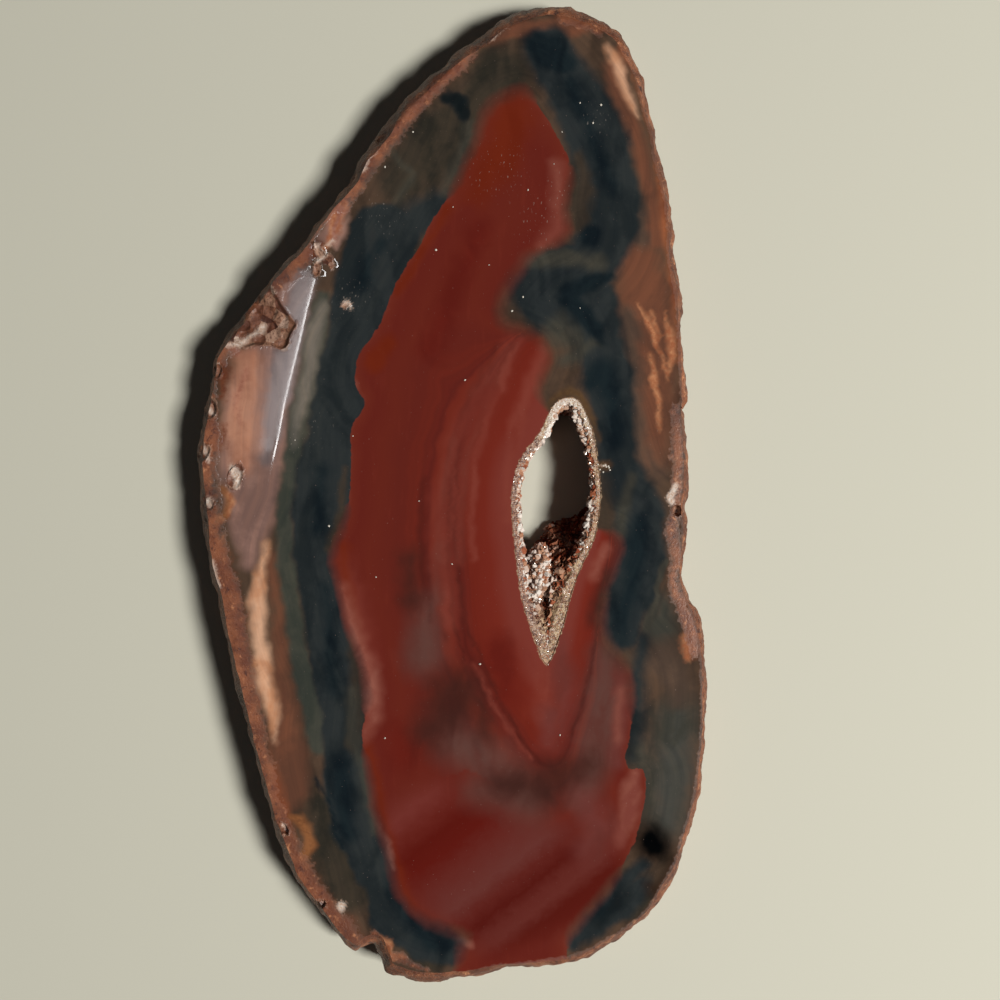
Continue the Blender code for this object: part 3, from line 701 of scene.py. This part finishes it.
class Shader:
    """A material under construction, with short calls for the nodes it uses."""

    def __init__(self, name, **sockets):
        self.material = bpy.data.materials.new(name)
        self.material.use_nodes = True
        self.tree = self.material.node_tree
        self.surface = self.tree.nodes["Principled BSDF"]
        for socket, value in sockets.items():
            self.surface.inputs[socket.replace("_", " ")].default_value = value
        place = self.tree.nodes.new("ShaderNodeTexCoord").outputs["Object"]
        self.place = self.out("VectorMath", 0, operation="SCALE", Vector=place, Scale=1 / MM)

    def node(self, kind, **settings):
        made = self.tree.nodes.new("ShaderNode" + kind)
        for key, value in settings.items():
            if key[0].islower():
                setattr(made, key, value)
            else:
                self.put(made.inputs[key.replace("_", " ")], value)
        return made

    def out(self, kind, output, **settings):
        return self.node(kind, **settings).outputs[output]

    def put(self, socket, value):
        if isinstance(value, bpy.types.NodeSocket):
            self.tree.links.new(value, socket)
        else:
            socket.default_value = linear(value) if socket.type == "RGBA" else value

    def attribute(self, name):
        return self.out("Attribute", "Fac", attribute_name=name)

    def parts(self):
        """The place's x, y and z."""
        return self.node("SeparateXYZ", Vector=self.place).outputs

    def noise(self, size, detail=2.0, roughness=0.5, distortion=0.0, stretch=None, place=None):
        place = place or self.place
        if stretch:
            stretched = self.node("VectorMath", operation="MULTIPLY", Vector=place)
            self.put(stretched.inputs[1], stretch)
            place = stretched.outputs[0]
        return self.out("TexNoise", "Fac", Vector=place, Scale=1 / size, Detail=detail,
                        Roughness=roughness, Distortion=distortion)

    def math(self, operation, *values):
        made = self.node("Math", operation=operation)
        for socket, value in zip(made.inputs, values):
            self.put(socket, value)
        return made.outputs[0]

    def plus(self, first, second):
        return self.math("ADD", first, second)

    def times(self, first, second):
        return self.math("MULTIPLY", first, second)

    def fit(self, value, gain, offset):
        """The value times a gain, plus an offset."""
        return self.math("MULTIPLY_ADD", value, gain, offset)

    def rise(self, value, low, high):
        """Smooth 0 to 1 as value goes from low to high."""
        return self.out("MapRange", "Result", interpolation_type="SMOOTHSTEP", Value=value, From_Min=low,
                        From_Max=high)

    def mix(self, factor, first, second, blend="MIX"):
        made = self.node("Mix", data_type="RGBA", blend_type=blend)
        for socket, value in zip(("Factor", 6, 7), (factor, first, second)):
            self.put(made.inputs[socket], value)
        return made.outputs[2]

    def ramp(self, value, stops):
        made = self.node("ValToRGB", Fac=value)
        elements = made.color_ramp.elements
        while len(elements) < len(stops):
            elements.new(0.5)
        for element, (position, colour) in zip(elements, stops):
            element.position = position
            element.color = linear(colour)
        return made.outputs["Color"]

    def scaled_ramp(self, value, stops, low, high):
        """Ramp whose stops are given in the value's own units."""
        spread = self.out("MapRange", "Result", Value=value, From_Min=low, From_Max=high)
        return self.ramp(spread, [((place - low) / (high - low), colour) for place, colour in stops])

    def bump(self, height, distance):
        return self.out("Bump", 0, Height=height, Distance=distance * MM, Strength=1.0)

    def done(self, **sockets):
        """The material, with these sockets of its surface."""
        for socket, value in sockets.items():
            self.put(self.surface.inputs[socket.replace("_", " ")], value)
        return self.material


# Colours across the core, from the hollow (0) past the chevron (1) to its outline (2)
CORE_RAMP = (
    (0.00, (120, 54, 46)), (0.22, (118, 52, 44)), (0.45, (113, 40, 30)), (0.80, (108, 36, 26)),
    (0.93, (100, 36, 29)), (1.00, (86, 30, 25)), (1.06, (100, 37, 30)), (1.16, (116, 43, 31)),
    (1.24, (96, 34, 28)), (1.36, (104, 37, 28)), (1.50, (97, 35, 28)), (1.70, (101, 37, 28)),
    (1.88, (98, 34, 27)), (1.98, (104, 40, 30)), (2.00, (108, 46, 36)),
)
LEAN_RAMP = (
    (790, (98, 38, 32)), (869, (98, 36, 27)), (898, (110, 48, 43)), (918, (98, 34, 28)),
    (935, (88, 22, 16)), (952, (92, 24, 18)), (972, (97, 38, 33)), (1002, (100, 50, 46)),
    (1018, (92, 34, 29)), (1031, (82, 23, 18)), (1044, (94, 38, 33)), (1055, (97, 42, 37)),
    (1068, (84, 24, 18)), (1082, (86, 25, 19)), (1100, (98, 46, 41)), (1125, (100, 42, 36)),
)
BAND_END = 2.5
LEAN_ENDS = (790, 1125)
# The grainy skin where the polished face meets the rind and the crystals, in millimetres
RIM_SKIN = 0.12
EDGE_SKIN = 0.5


def lay(shader, colour, layers, cloud):
    """Lay strokes of paint over a colour, each with a cloudy edge and cloudy colours."""
    for name, (first, second, ragged, cover, _) in layers.items():
        mask = shader.attribute(name)
        factor = shader.rise(shader.plus(mask, shader.fit(cloud, 2 * ragged, -ragged)), 0.05, 0.95)
        factor = shader.times(factor, shader.rise(mask, 0.0, 0.12))
        shade = shader.mix(shader.rise(cloud, 0.38, 0.62), first, second)
        colour = shader.mix(shader.times(factor, cover), colour, shade)
    return colour


def banded_colour(shader):
    """The pattern of the stone, as it runs through the whole slab, and the cloud it varies by."""
    cloud = shader.noise(3.4, detail=2.5, distortion=0.8, stretch=(1.0, 0.5, 1.0))
    mist = shader.noise(0.9, detail=3.0, roughness=0.55, distortion=0.5)
    blend = shader.fit(mist, 0.2, shader.times(cloud, 0.8))
    colour = shader.mix(shader.rise(blend, 0.35, 0.65), (84, 66, 54), (60, 48, 40))
    colour = lay(shader, colour, OUTER_LAYERS, blend)
    x, y, _ = shader.parts()
    contour = shader.out("CombineXYZ", 0, X=shader.times(shader.attribute("core"), 1.6),
                         Y=shader.times(y, 0.07), Z=shader.times(x, 0.04))
    ply = shader.noise(1.0, detail=3.0, roughness=0.6, place=contour)
    tint = shader.ramp(ply, [(0.3, (0.86, 0.87, 0.9, 1)), (0.5, (1, 1, 1, 1)), (0.7, (1.14, 1.1, 1.06, 1))])
    colour = shader.mix(1.0, colour, tint, blend="MULTIPLY")

    band = shader.plus(shader.attribute("band"), shader.fit(shader.noise(3.0, detail=3.0), 0.12, -0.06))
    core = shader.scaled_ramp(band, CORE_RAMP, 0.0, BAND_END)
    fine = shader.out("TexWave", "Fac", wave_type="BANDS", Vector=shader.out("CombineXYZ", 0, X=band),
                      Scale=4.2, Distortion=1.5, Detail=2.0)
    stripes = shader.rise(shader.math("ABSOLUTE", shader.math("SUBTRACT", band, 1.12)), 0.55, 0.1)
    core = shader.mix(shader.times(shader.times(fine, stripes), 0.16), core, (72, 30, 26))
    streak = shader.rise(shader.noise(0.75, detail=3.0, stretch=(1.0, 0.16, 1.0)), 0.55, 0.75)
    core = shader.mix(shader.times(streak, 0.15), core, (124, 50, 38))
    slanted = shader.scaled_ramp(shader.fit(mist, 14.0, shader.attribute("lean")), LEAN_RAMP, *LEAN_ENDS)
    core = shader.mix(shader.rise(shader.attribute("lean_zone"), 0.1, 0.9), core, slanted)
    core = lay(shader, core, CORE_LAYERS, blend)

    width = shader.fit(shader.attribute("soft"), 1.5, 0.07)
    place = shader.plus(shader.attribute("core"), shader.fit(mist, 0.5, -0.25))
    return shader.mix(shader.rise(place, width, shader.times(width, -1.0)), colour, core), blend


def agate_face():
    """The polished face: its pattern, its chips, and the skins at the rind and the crystals."""
    shader = Shader("agate_face")
    colour, blend = banded_colour(shader)
    grain = shader.noise(0.22, detail=3.0, roughness=0.65)
    fleck = shader.noise(0.5, roughness=0.6)
    colour = lay(shader, colour, TOP_LAYERS, shader.fit(fleck, 0.5, shader.times(blend, 0.5)))
    edge_place = shader.fit(fleck, -0.6, shader.attribute("edge"))
    skin_mask = shader.fit(shader.math("SUBTRACT", fleck, 0.5), 0.8, shader.attribute("skin"))
    at_edge = shader.math("MAXIMUM", shader.rise(edge_place, EDGE_SKIN, EDGE_SKIN - 0.9),
                          shader.times(shader.rise(skin_mask, 0.15, 0.95), 0.9))
    colour = shader.mix(at_edge, colour, rind_colour(shader))
    rim_place = shader.fit(fleck, -0.5, shader.attribute("rim"))
    sugar = shader.mix(shader.rise(grain, 0.4, 0.65), (130, 96, 74), (190, 168, 140))
    colour = shader.mix(shader.rise(rim_place, RIM_SKIN - 0.25, RIM_SKIN - 0.4), colour, sugar)
    worn = shader.rise(shader.noise(0.2, stretch=(1.0, 0.45, 1.0)), 0.64, 0.74)
    worn = shader.times(worn, shader.attribute("scuffed"))
    colour = shader.mix(shader.times(worn, 0.6), colour, (170, 160, 152))
    dots = shader.rise(shader.noise(0.14, detail=1.0), 0.76, 0.82)
    colour = shader.mix(shader.times(dots, 0.35), colour, (190, 160, 150))
    cells = shader.node("TexVoronoi", Vector=shader.place, Scale=0.85, Randomness=1.0)
    facet = shader.out("SeparateColor", "Red", Color=cells.outputs["Color"])
    # Chips: facets in random tones from dark red-brown to pale grey; the palest are painted glints
    chip_tones_and_glints = shader.ramp(facet, [(0.0, (62, 32, 24)), (0.3, (110, 66, 48)), (0.6, (140, 98, 76)),
                                 (0.85, (160, 124, 104)), (1.0, (190, 166, 152))])
    chip_tones_and_glints = shader.mix(shader.rise(grain, 0.45, 0.7), chip_tones_and_glints, (82, 50, 40))
    chip = shader.attribute("chip")
    colour = shader.mix(chip, colour, chip_tones_and_glints)
    colour = lay(shader, colour, LAST_LAYERS, grain)
    polish = shader.out("MapRange", "Result", Value=shader.noise(5.0, detail=4.0, roughness=0.7),
                        From_Min=0.3, From_Max=0.7, To_Min=0.03, To_Max=0.055)
    polish = shader.fit(shader.attribute("matt"), 0.09, polish)
    rough = shader.math("MAXIMUM", chip, at_edge)
    roughness = shader.out("MapRange", "Result", Value=shader.rise(rough, 0.0, 0.25), To_Min=polish,
                           To_Max=0.45)
    scratch = shader.noise(0.16, detail=1.0, stretch=(1.0, 0.06, 1.0))
    height = shader.fit(scratch, 0.0012, shader.times(grain, shader.fit(rough, 0.22, 0.0015)))
    height = shader.fit(shader.times(cells.outputs["Distance"], chip), 0.8, height)
    return shader.done(Base_Color=colour, Roughness=roughness, Normal=shader.bump(height, 0.22))


def agate_base():
    """The sawn underside: the same pattern, matt and paler, with the saw's faint arcs."""
    shader = Shader("agate_base", Roughness=0.55)
    colour = shader.mix(0.35, banded_colour(shader)[0], (140, 116, 100))
    arcs = shader.out("TexWave", "Fac", wave_type="BANDS", bands_direction="DIAGONAL", Vector=shader.place,
                      Scale=0.8, Distortion=2.0, Detail=1.0)
    height = shader.fit(shader.noise(0.3, detail=3.0), 0.6, shader.times(arcs, 0.4))
    return shader.done(Base_Color=colour, Normal=shader.bump(height, 0.04))


def rind_colour(shader):
    """Colour of the natural skin: orange brown, with pale, pink and dark spots."""
    broad = shader.noise(3.2, detail=4.0, roughness=0.6)
    patch = shader.noise(1.0, detail=4.0, roughness=0.65, distortion=0.5)
    grain = shader.noise(0.3, detail=4.0, roughness=0.7)
    colour = shader.mix(shader.rise(broad, 0.38, 0.62), (98, 50, 30), (142, 84, 54))
    colour = shader.mix(shader.rise(patch, 0.56, 0.72), colour, (186, 124, 86))
    colour = shader.mix(shader.rise(grain, 0.62, 0.78), colour, (196, 148, 116))
    return shader.mix(shader.rise(patch, 0.45, 0.33), colour, (72, 32, 22))


def agate_rind():
    """The natural skin, lumpy and grainy."""
    shader = Shader("agate_rind", Roughness=0.5)
    patch = shader.noise(0.8, detail=4.0, roughness=0.65, distortion=0.5)
    height = shader.fit(shader.noise(0.25, detail=4.0, roughness=0.7), 0.5, patch)
    return shader.done(Base_Color=rind_colour(shader), Normal=shader.bump(height, 0.3))


def agate_wall():
    """The stone right behind the crystals."""
    shader = Shader("agate_wall", Roughness=0.6)
    grain = shader.noise(0.3, detail=3.0)
    colour = shader.mix(shader.rise(grain, 0.35, 0.65), (112, 70, 52), (150, 108, 82))
    return shader.done(Base_Color=colour, Normal=shader.bump(grain, 0.15))


# The crust: how far it starts from the slab's wall, how thick it is, and its crystals
CRUST_GAP = 0.03
CRUST_DEPTH = 0.46
CRUST_STEPS = 380
CRUST_ROWS = 26
CRUST_TOP = THICKNESS - 0.06
CRUST_FOOT = 0.12
CRUST_GRAINS = ((0.16, 0.55), (0.09, 0.25))
# Height of the mound of crystals on the slanted wall, and the lean at which it is fully there
MOUND = 2.0
MOUND_LEAN = (3.0, 8.0)
# A heap of milky crystals that fills the low end of the hollow
HEAP_PX = (541, 580)
HEAP_HEIGHT = 2.4
HEAP_RADII = (1.7, 3.3, 2.8)
HEAP_LUMPS = ((0.3, 1.1), (0.15, 0.5))
HEAP_CRYSTALS = 560
HEAP_CRYSTAL_RADIUS = (0.14, 0.36)
# Larger pale crystals under the rim on the right, in pixels
RIM_CROWD_PX = ((575, 412), (581, 426), (587, 442), (591, 458), (593, 474), (594, 492), (592, 510),
                (589, 528), (582, 546), (574, 564))
RIM_CROWD = 170
RIM_CROWD_RADIUS = (0.16, 0.38)
RIM_CROWD_DEPTH = 0.8
RIM_CROWD_SPREAD = 0.14
CRYSTALS = 1700
CRYSTAL_RADIUS = (0.14, 0.46)
GRAINS = 2600
GRAIN_RADIUS = (0.06, 0.15)
CRYSTAL_LEAN = 0.5
# Painted light: crystals are paler towards the left, the side of the hollow the lamp lights, between these
# places across it
PAINTED_LIT_SIDE = (12.0, 8.5)
# The ring of grains is palest towards the hollow's upper end, between these places
PALE_END = (3.0, 8.0)
MOST_INWARD = 0.9
LEAST_FACING = 0.35
# Grains may stand this much out of the crust's top
GRAIN_RISE = 0.03


def towards_spine(loop, height, distance):
    """Move a wall loop inward by a distance, square to the wall, towards the hollow's spine."""
    rim_ends, floor_ends = (np.array(ends, float) + VIEW_MIDDLE for ends in HOLLOW_SPINE)
    top, low = floor_ends + (rim_ends - floor_ends) * height / THICKNESS
    axis = low - top
    steps = np.clip((loop - top) @ axis / (axis @ axis), 0.0, 1.0)
    inward = top + steps[:, None] * axis - loop
    room = np.linalg.norm(inward, axis=1)
    inward /= room[:, None]
    facing = -(inward * outward_normals(loop, max(2, len(loop) // 80))).sum(axis=1)
    moved = np.minimum(distance / np.clip(facing, LEAST_FACING, 1.0), MOST_INWARD * room)
    return loop + inward * moved[:, None]


def crust_loop(height, distance):
    """Loop in the hollow at a distance from its wall, more of it where the wall leans."""
    lean = np.linalg.norm(hollow_loop(THICKNESS, CRUST_STEPS) - hollow_loop(0.0, CRUST_STEPS), axis=1)
    slant = np.hypot(lean, THICKNESS) / THICKNESS
    mound = MOUND * smoothstep(*MOUND_LEAN, lean) * math.sin(math.pi * height / THICKNESS)
    wall = hollow_loop(height, CRUST_STEPS)
    return towards_spine(wall, height, (distance + (mound if distance > CRUST_GAP else 0.0)) * slant)


def crystal(at, axis, radius, length, turn):
    """Corners of one six-sided crystal with its point, standing on a place along an axis."""
    side = axis.cross(Vector((0.3, 0.2, 0.9)) if abs(axis.z) < 0.8 else Vector((1, 0, 0))).normalized()
    other = axis.cross(side)
    corners = []
    for rise, share in ((-0.3, 1.0), (length - 1.1 * radius, 0.94)):
        for k in range(6):
            angle = turn + k * math.pi / 3
            out = side * math.cos(angle) + other * math.sin(angle)
            corners.append(at + axis * rise + out * radius * share)
    return corners + [at + axis * length]


CRYSTAL_CORNERS = 13
CRYSTAL_FACES = [(k, (k + 1) % 6, (k + 1) % 6 + 6, k + 6) for k in range(6)]
CRYSTAL_FACES += [(k + 6, (k + 1) % 6 + 6, 12) for k in range(6)]


def crust_mesh(materials):
    """The grainy crust in the hollow and the crowd of crystals that stands on it."""
    backs = [at_height(crust_loop(z, CRUST_GAP), z) for z in (CRUST_FOOT, CRUST_TOP)]
    fronts = []
    for z in np.linspace(CRUST_TOP, CRUST_FOOT, CRUST_ROWS):
        loop = at_height(crust_loop(z, CRUST_GAP + CRUST_DEPTH), z)
        inward = at_height(crust_loop(z, 1.0) - loop[:, :2], 0.0)
        fronts.append(inward * lumps(loop, CRUST_GRAINS)[:, None] / 0.3 + loop)
    rows = backs + fronts
    faces = np.vstack([band_quads(k * CRUST_STEPS, (k + 1) % len(rows) * CRUST_STEPS, CRUST_STEPS)
                       for k in range(len(rows))])
    surface = np.array(fronts)
    down = np.diff(surface, axis=0, append=2 * surface[-1:] - surface[-2:-1])
    normals = np.cross(down, np.roll(surface, -1, axis=1) - surface)
    lengths = np.linalg.norm(normals, axis=2, keepdims=True)
    flat = -normals / np.maximum(lengths, 1e-9)
    weights = np.cumsum(lengths[:-1].ravel())
    chance = random.Random(11)
    corners, tones = [], []

    def scatter(spread):
        return Vector([chance.gauss(0, spread) for _ in range(3)])

    for _ in range(CRYSTALS):
        pick = int(np.searchsorted(weights, chance.uniform(0, weights[-1])))
        row, column = divmod(min(pick, (CRUST_ROWS - 1) * CRUST_STEPS - 1), CRUST_STEPS)
        at = Vector(surface[row, column])
        axis = (Vector(flat[row, column]) + scatter(CRYSTAL_LEAN) * 0.6).normalized()
        radius = CRYSTAL_RADIUS[0] + (CRYSTAL_RADIUS[1] - CRYSTAL_RADIUS[0]) * chance.random() ** 2
        made = crystal(at, axis, radius, radius * chance.uniform(1.0, 1.9), chance.uniform(0, 6.3))
        above = max(corner.z for corner in made) - CRUST_TOP + GRAIN_RISE
        below = CRUST_FOOT - min(corner.z for corner in made)
        for corner in made:
            corner.z += max(0.0, below) - max(0.0, above)
        corners.append(made)
        # Painted light: the tone rises towards the lit left side of the hollow
        left, upper = smoothstep(*PAINTED_LIT_SIDE, at.x), smoothstep(*PALE_END, at.y)
        tones.append(chance.random() * (0.45 + 0.55 * left) + 0.2 * left + 0.45 * upper)
    middle = Vector((*from_view([HEAP_PX])[0], HEAP_HEIGHT))
    for _ in range(HEAP_CRYSTALS):
        way = scatter(1).normalized()
        way.z = abs(way.z)
        at = middle + Vector([part * radius for part, radius in zip(way, HEAP_RADII)])
        axis = Vector([part / radius for part, radius in zip(way, HEAP_RADII)]).normalized()
        axis = (axis + scatter(0.3)).normalized()
        radius = chance.uniform(*HEAP_CRYSTAL_RADIUS)
        corners.append(crystal(at, axis, radius, radius * chance.uniform(0.9, 1.7), chance.uniform(0, 6.3)))
        # Painted light: heap crystals are paler towards the lit left side
        left = smoothstep(*PAINTED_LIT_SIDE, at.x)
        tones.append((0.1 + 0.3 * left) + (0.9 - 0.3 * left) * chance.random())
    route = from_view(RIM_CROWD_PX)
    for _ in range(RIM_CROWD):
        share = chance.random() * (len(route) - 1)
        part = int(share)
        spot = route[part] + (route[part + 1] - route[part]) * (share - part)
        radius = chance.uniform(*RIM_CROWD_RADIUS)
        at = Vector((*spot, CRUST_TOP - chance.uniform(1.3 * radius, RIM_CROWD_DEPTH)))
        at += Vector((chance.gauss(0, RIM_CROWD_SPREAD), chance.gauss(0, RIM_CROWD_SPREAD), 0.0))
        axis = Vector((chance.gauss(-0.5, 0.4), chance.gauss(0, 0.4), chance.uniform(0.1, 1.0))).normalized()
        corners.append(crystal(at, axis, radius, radius * 1.3, chance.uniform(0, 6.3)))
        tones.append(chance.uniform(0.5, 1.0))
    for _ in range(GRAINS):
        column = chance.randrange(CRUST_STEPS)
        share = chance.random()
        at = Vector((*(backs[1][column, :2] * (1 - share) + surface[0, column, :2] * share), CRUST_TOP))
        radius = chance.uniform(*GRAIN_RADIUS)
        axis = Vector((chance.gauss(0, 0.6), chance.gauss(0, 0.6), 0.8)).normalized()
        at.z -= radius * 0.6
        made = crystal(at, axis, radius, radius * 1.1, chance.uniform(0, 6.3))
        for corner in made:
            corner.z = min(corner.z, CRUST_TOP + GRAIN_RISE + GRAIN_RISE * share)
        corners.append(made)
        tones.append(chance.uniform(0.3, 0.85) + 0.3 * smoothstep(*PALE_END, at.y))
    heap = bmesh.new()
    bmesh.ops.create_icosphere(heap, subdivisions=5, radius=1.0)
    ball = np.array([tuple(vertex.co) for vertex in heap.verts])
    start = len(rows) * CRUST_STEPS
    heap_faces = [[vertex.index + start for vertex in face.verts] for face in heap.faces]
    heap.free()
    ball = ball * HEAP_RADII * (1 + lumps(ball * HEAP_RADII, HEAP_LUMPS) / 2)[:, None] + tuple(middle)
    ball[:, 2] = np.maximum(ball[:, 2], CRUST_FOOT)
    start += len(ball)
    points = np.array([[tuple(corner) for corner in made] for made in corners]).reshape(-1, 3)
    crystal_faces = [[CRYSTAL_CORNERS * number + k + start for k in face]
                     for number in range(len(corners)) for face in CRYSTAL_FACES]
    crust = new_mesh("quartz_crystals", np.vstack([*rows, ball, points]),
                     faces.tolist() + heap_faces + crystal_faces, materials,
                     slots=[0] * (len(faces) + len(heap_faces)) + [1] * len(crystal_faces), smooth=False)
    store(crust, "tone", np.concatenate([np.zeros(start), np.repeat(tones, CRYSTAL_CORNERS)]))
    return crust


def quartz_crust():
    """The fine-grained crust: cream at the polished face and redder further down."""
    shader = Shader("quartz_crust", Roughness=0.35)
    grain = shader.noise(0.32, detail=3.0, roughness=0.6)
    x, y, height = shader.parts()
    colour, mauve, cream = (shader.mix(shader.rise(grain, 0.38, 0.66), dark, pale) for dark, pale in (
        ((104, 72, 54), (192, 166, 132)), ((92, 58, 54), (160, 128, 120)),
        ((160, 132, 102), (226, 210, 182))))
    colour = shader.mix(shader.times(shader.rise(x, 10.0, 7.5), 0.8), colour, mauve)
    colour = shader.mix(shader.times(shader.rise(y, 5.0, 8.5), 0.8), colour, cream)
    low = shader.mix(shader.rise(grain, 0.35, 0.65), (86, 42, 30), (150, 98, 74))
    colour = shader.mix(shader.rise(height, THICKNESS - 0.2, THICKNESS - 1.6), colour, low)
    return shader.done(Base_Color=colour, Normal=shader.bump(grain, 0.1))


def quartz_points():
    """The crystals: milky to clear, stained brown by what they stand on, and painted paler on the lit left
    side of the hollow.
    """
    shader = Shader("quartz_points", Roughness=0.06, IOR=1.54, Transmission_Weight=0.1)
    colour = shader.ramp(shader.attribute("tone"), [
        (0.0, (132, 62, 42)), (0.3, (168, 100, 72)), (0.55, (196, 152, 124)), (0.8, (222, 206, 196)),
        (1.0, (240, 234, 228))])
    deep = shader.rise(shader.parts()["Z"], THICKNESS - 0.5, THICKNESS - 4.0)
    return shader.done(Base_Color=shader.mix(shader.times(deep, 0.35), colour, (168, 76, 52)))


# White specks of dust on the polish, in pixels, and the size they vary between in millimetres
DUST_PX = (
    (353, 436), (419, 501), (329, 526), (295, 440), (489, 265), (436, 250), (465, 380), (523, 297),
    (480, 664), (560, 735), (413, 132), (385, 167), (601, 105), (593, 123), (580, 103), (562, 132),
    (554, 164), (528, 190), (512, 311), (580, 308), (376, 577), (452, 564), (453, 207), (385, 738),
)
DUST_RADIUS = (0.07, 0.14)
# A small knot of crystals beside the hollow's rim
KNOT_PX = (604, 467)
KNOT_SPECKS = 9
KNOT_SPREAD = (0.3, 0.2)
KNOT_RADII = (0.1, 0.1, 0.06)


def dust_mesh(material):
    """Specks lying on the polish."""
    chance = random.Random(4)
    specks = bmesh.new()

    def add(middle, turn, radii):
        place = Matrix.Translation(middle) @ Matrix.Rotation(turn, 4, "Z") @ Matrix.Diagonal((*radii, 1))
        bmesh.ops.create_icosphere(specks, subdivisions=1, radius=1.0, matrix=place)

    for x, y in from_view(DUST_PX):
        radius = chance.uniform(*DUST_RADIUS)
        height = float(surface_height(np.array([[x, y]]))[0])
        add((x, y, height + 0.3 * radius), chance.uniform(0, 3),
            (radius, radius * chance.uniform(0.6, 1.0), 0.6 * radius))
    for _ in range(KNOT_SPECKS):
        middle = from_view(KNOT_PX) + [chance.gauss(0, spread) for spread in KNOT_SPREAD]
        add((*middle, THICKNESS), 0.0, KNOT_RADII)
    places = [tuple(vertex.co) for vertex in specks.verts]
    faces = [[vertex.index for vertex in face.verts] for face in specks.faces]
    specks.free()
    return new_mesh("dust_specks", places, faces, [material], smooth=False)


def plain(name, colour, roughness):
    """A plain material."""
    return Shader(name, Roughness=roughness, Base_Color=colour).material


curve = smooth_loop(OUTLINE, 24 * len(OUTLINE))
OUTLINE_LOOP = along_path(np.vstack([curve, curve[:1]]),
                          lambda length: np.linspace(0.0, length, OUTLINE_STEPS, endpoint=False))
slab = slab_mesh([agate_face(), agate_rind(), agate_base(), agate_wall()])
slab_places = np.empty(3 * len(slab.data.vertices))
slab.data.vertices.foreach_get("co", slab_places)
for name, values in painted(slab_places.reshape(-1, 3)[:, :2] / MM).items():
    store(slab, name, values)
crust = crust_mesh([quartz_crust(), quartz_points()])
DUST_COLOUR = (0.62, 0.58, 0.52, 1)
dust = dust_mesh(plain("dust", DUST_COLOUR, 0.6))

# The floor is plain, and the light is soft: a lamp on the right, two that only the polish mirrors
# and a dim sky
FLOOR_HALF = 400.0
FLOOR_COLOUR = (0.56, 0.56, 0.485, 1)
floor_corners = [(x * FLOOR_HALF, y * FLOOR_HALF, 0) for x, y in ((-1, -1), (1, -1), (1, 1), (-1, 1))]
floor = new_mesh("floor", floor_corners, [(0, 1, 2, 3)], [plain("floor", FLOOR_COLOUR, 0.8)])


def area_light(name, place, aim, size, watts, colour):
    """A rectangular lamp at a place, aimed at a point, with lengths in millimetres."""
    lamp = bpy.data.lights.new(name, "AREA")
    lamp.shape = "RECTANGLE"
    lamp.size, lamp.size_y = (length * MM for length in size)
    lamp.energy = watts
    lamp.color = colour
    made = new_object(name, lamp)
    made.location = Vector(place) * MM
    made.rotation_euler = (Vector(place) - Vector(aim)).to_track_quat("Z", "Y").to_euler()
    return made


KEY_DISTANCE = 700.0
KEY_HEIGHT = math.radians(51)
KEY_SIDE = (0.94, -0.34)
KEY_SIZE = 150
KEY_WATTS = 6.3
KEY_COLOUR = (1.0, 0.965, 0.90)
key_reach = KEY_DISTANCE * math.cos(KEY_HEIGHT)
area_light("key", (key_reach * KEY_SIDE[0], key_reach * KEY_SIDE[1], KEY_DISTANCE * math.sin(KEY_HEIGHT)),
           (0, 0, 0), (KEY_SIZE, KEY_SIZE), KEY_WATTS, KEY_COLOUR)
# Lamps that only the polish mirrors, in the crease and the worn slope beside it
MIRRORED = (("strip", (-105.5, 65.7), (24, 88), 0.14), ("panel", (-136, 73), (14, 84), 0.009))
MIRRORED_TURN = math.radians(-12.7)
for name, (x, y), size, watts in MIRRORED:
    lamp = area_light(name, (x, y, 400), (x, y, 0), size, watts, (1.0, 1.0, 1.0))
    lamp.rotation_euler = (0.0, 0.0, MIRRORED_TURN)
    lamp.visible_diffuse = False

SKY_COLOUR = (1.0, 0.97, 0.92, 1)
SKY_STRENGTH = 0.02
world = bpy.data.worlds.new("studio")
world.use_nodes = True
sky = world.node_tree.nodes["Background"].inputs
sky["Color"].default_value = SKY_COLOUR
sky["Strength"].default_value = SKY_STRENGTH
scene = bpy.context.scene
scene.world = world
scene.view_settings.view_transform = "Standard"

camera = bpy.data.cameras.new("camera")
camera.lens, camera.sensor_width = 45.0, 36.0
camera.clip_start, camera.clip_end = 0.005, 5.0
scene.camera = new_object("camera", camera)
scene.camera.location = Vector((*VIEW_MIDDLE, THICKNESS + VIEW_HEIGHT)) * MM

for piece in (slab, crust, dust):
    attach(piece, "root")
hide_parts("agate_slice")
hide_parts("quartz_crust")
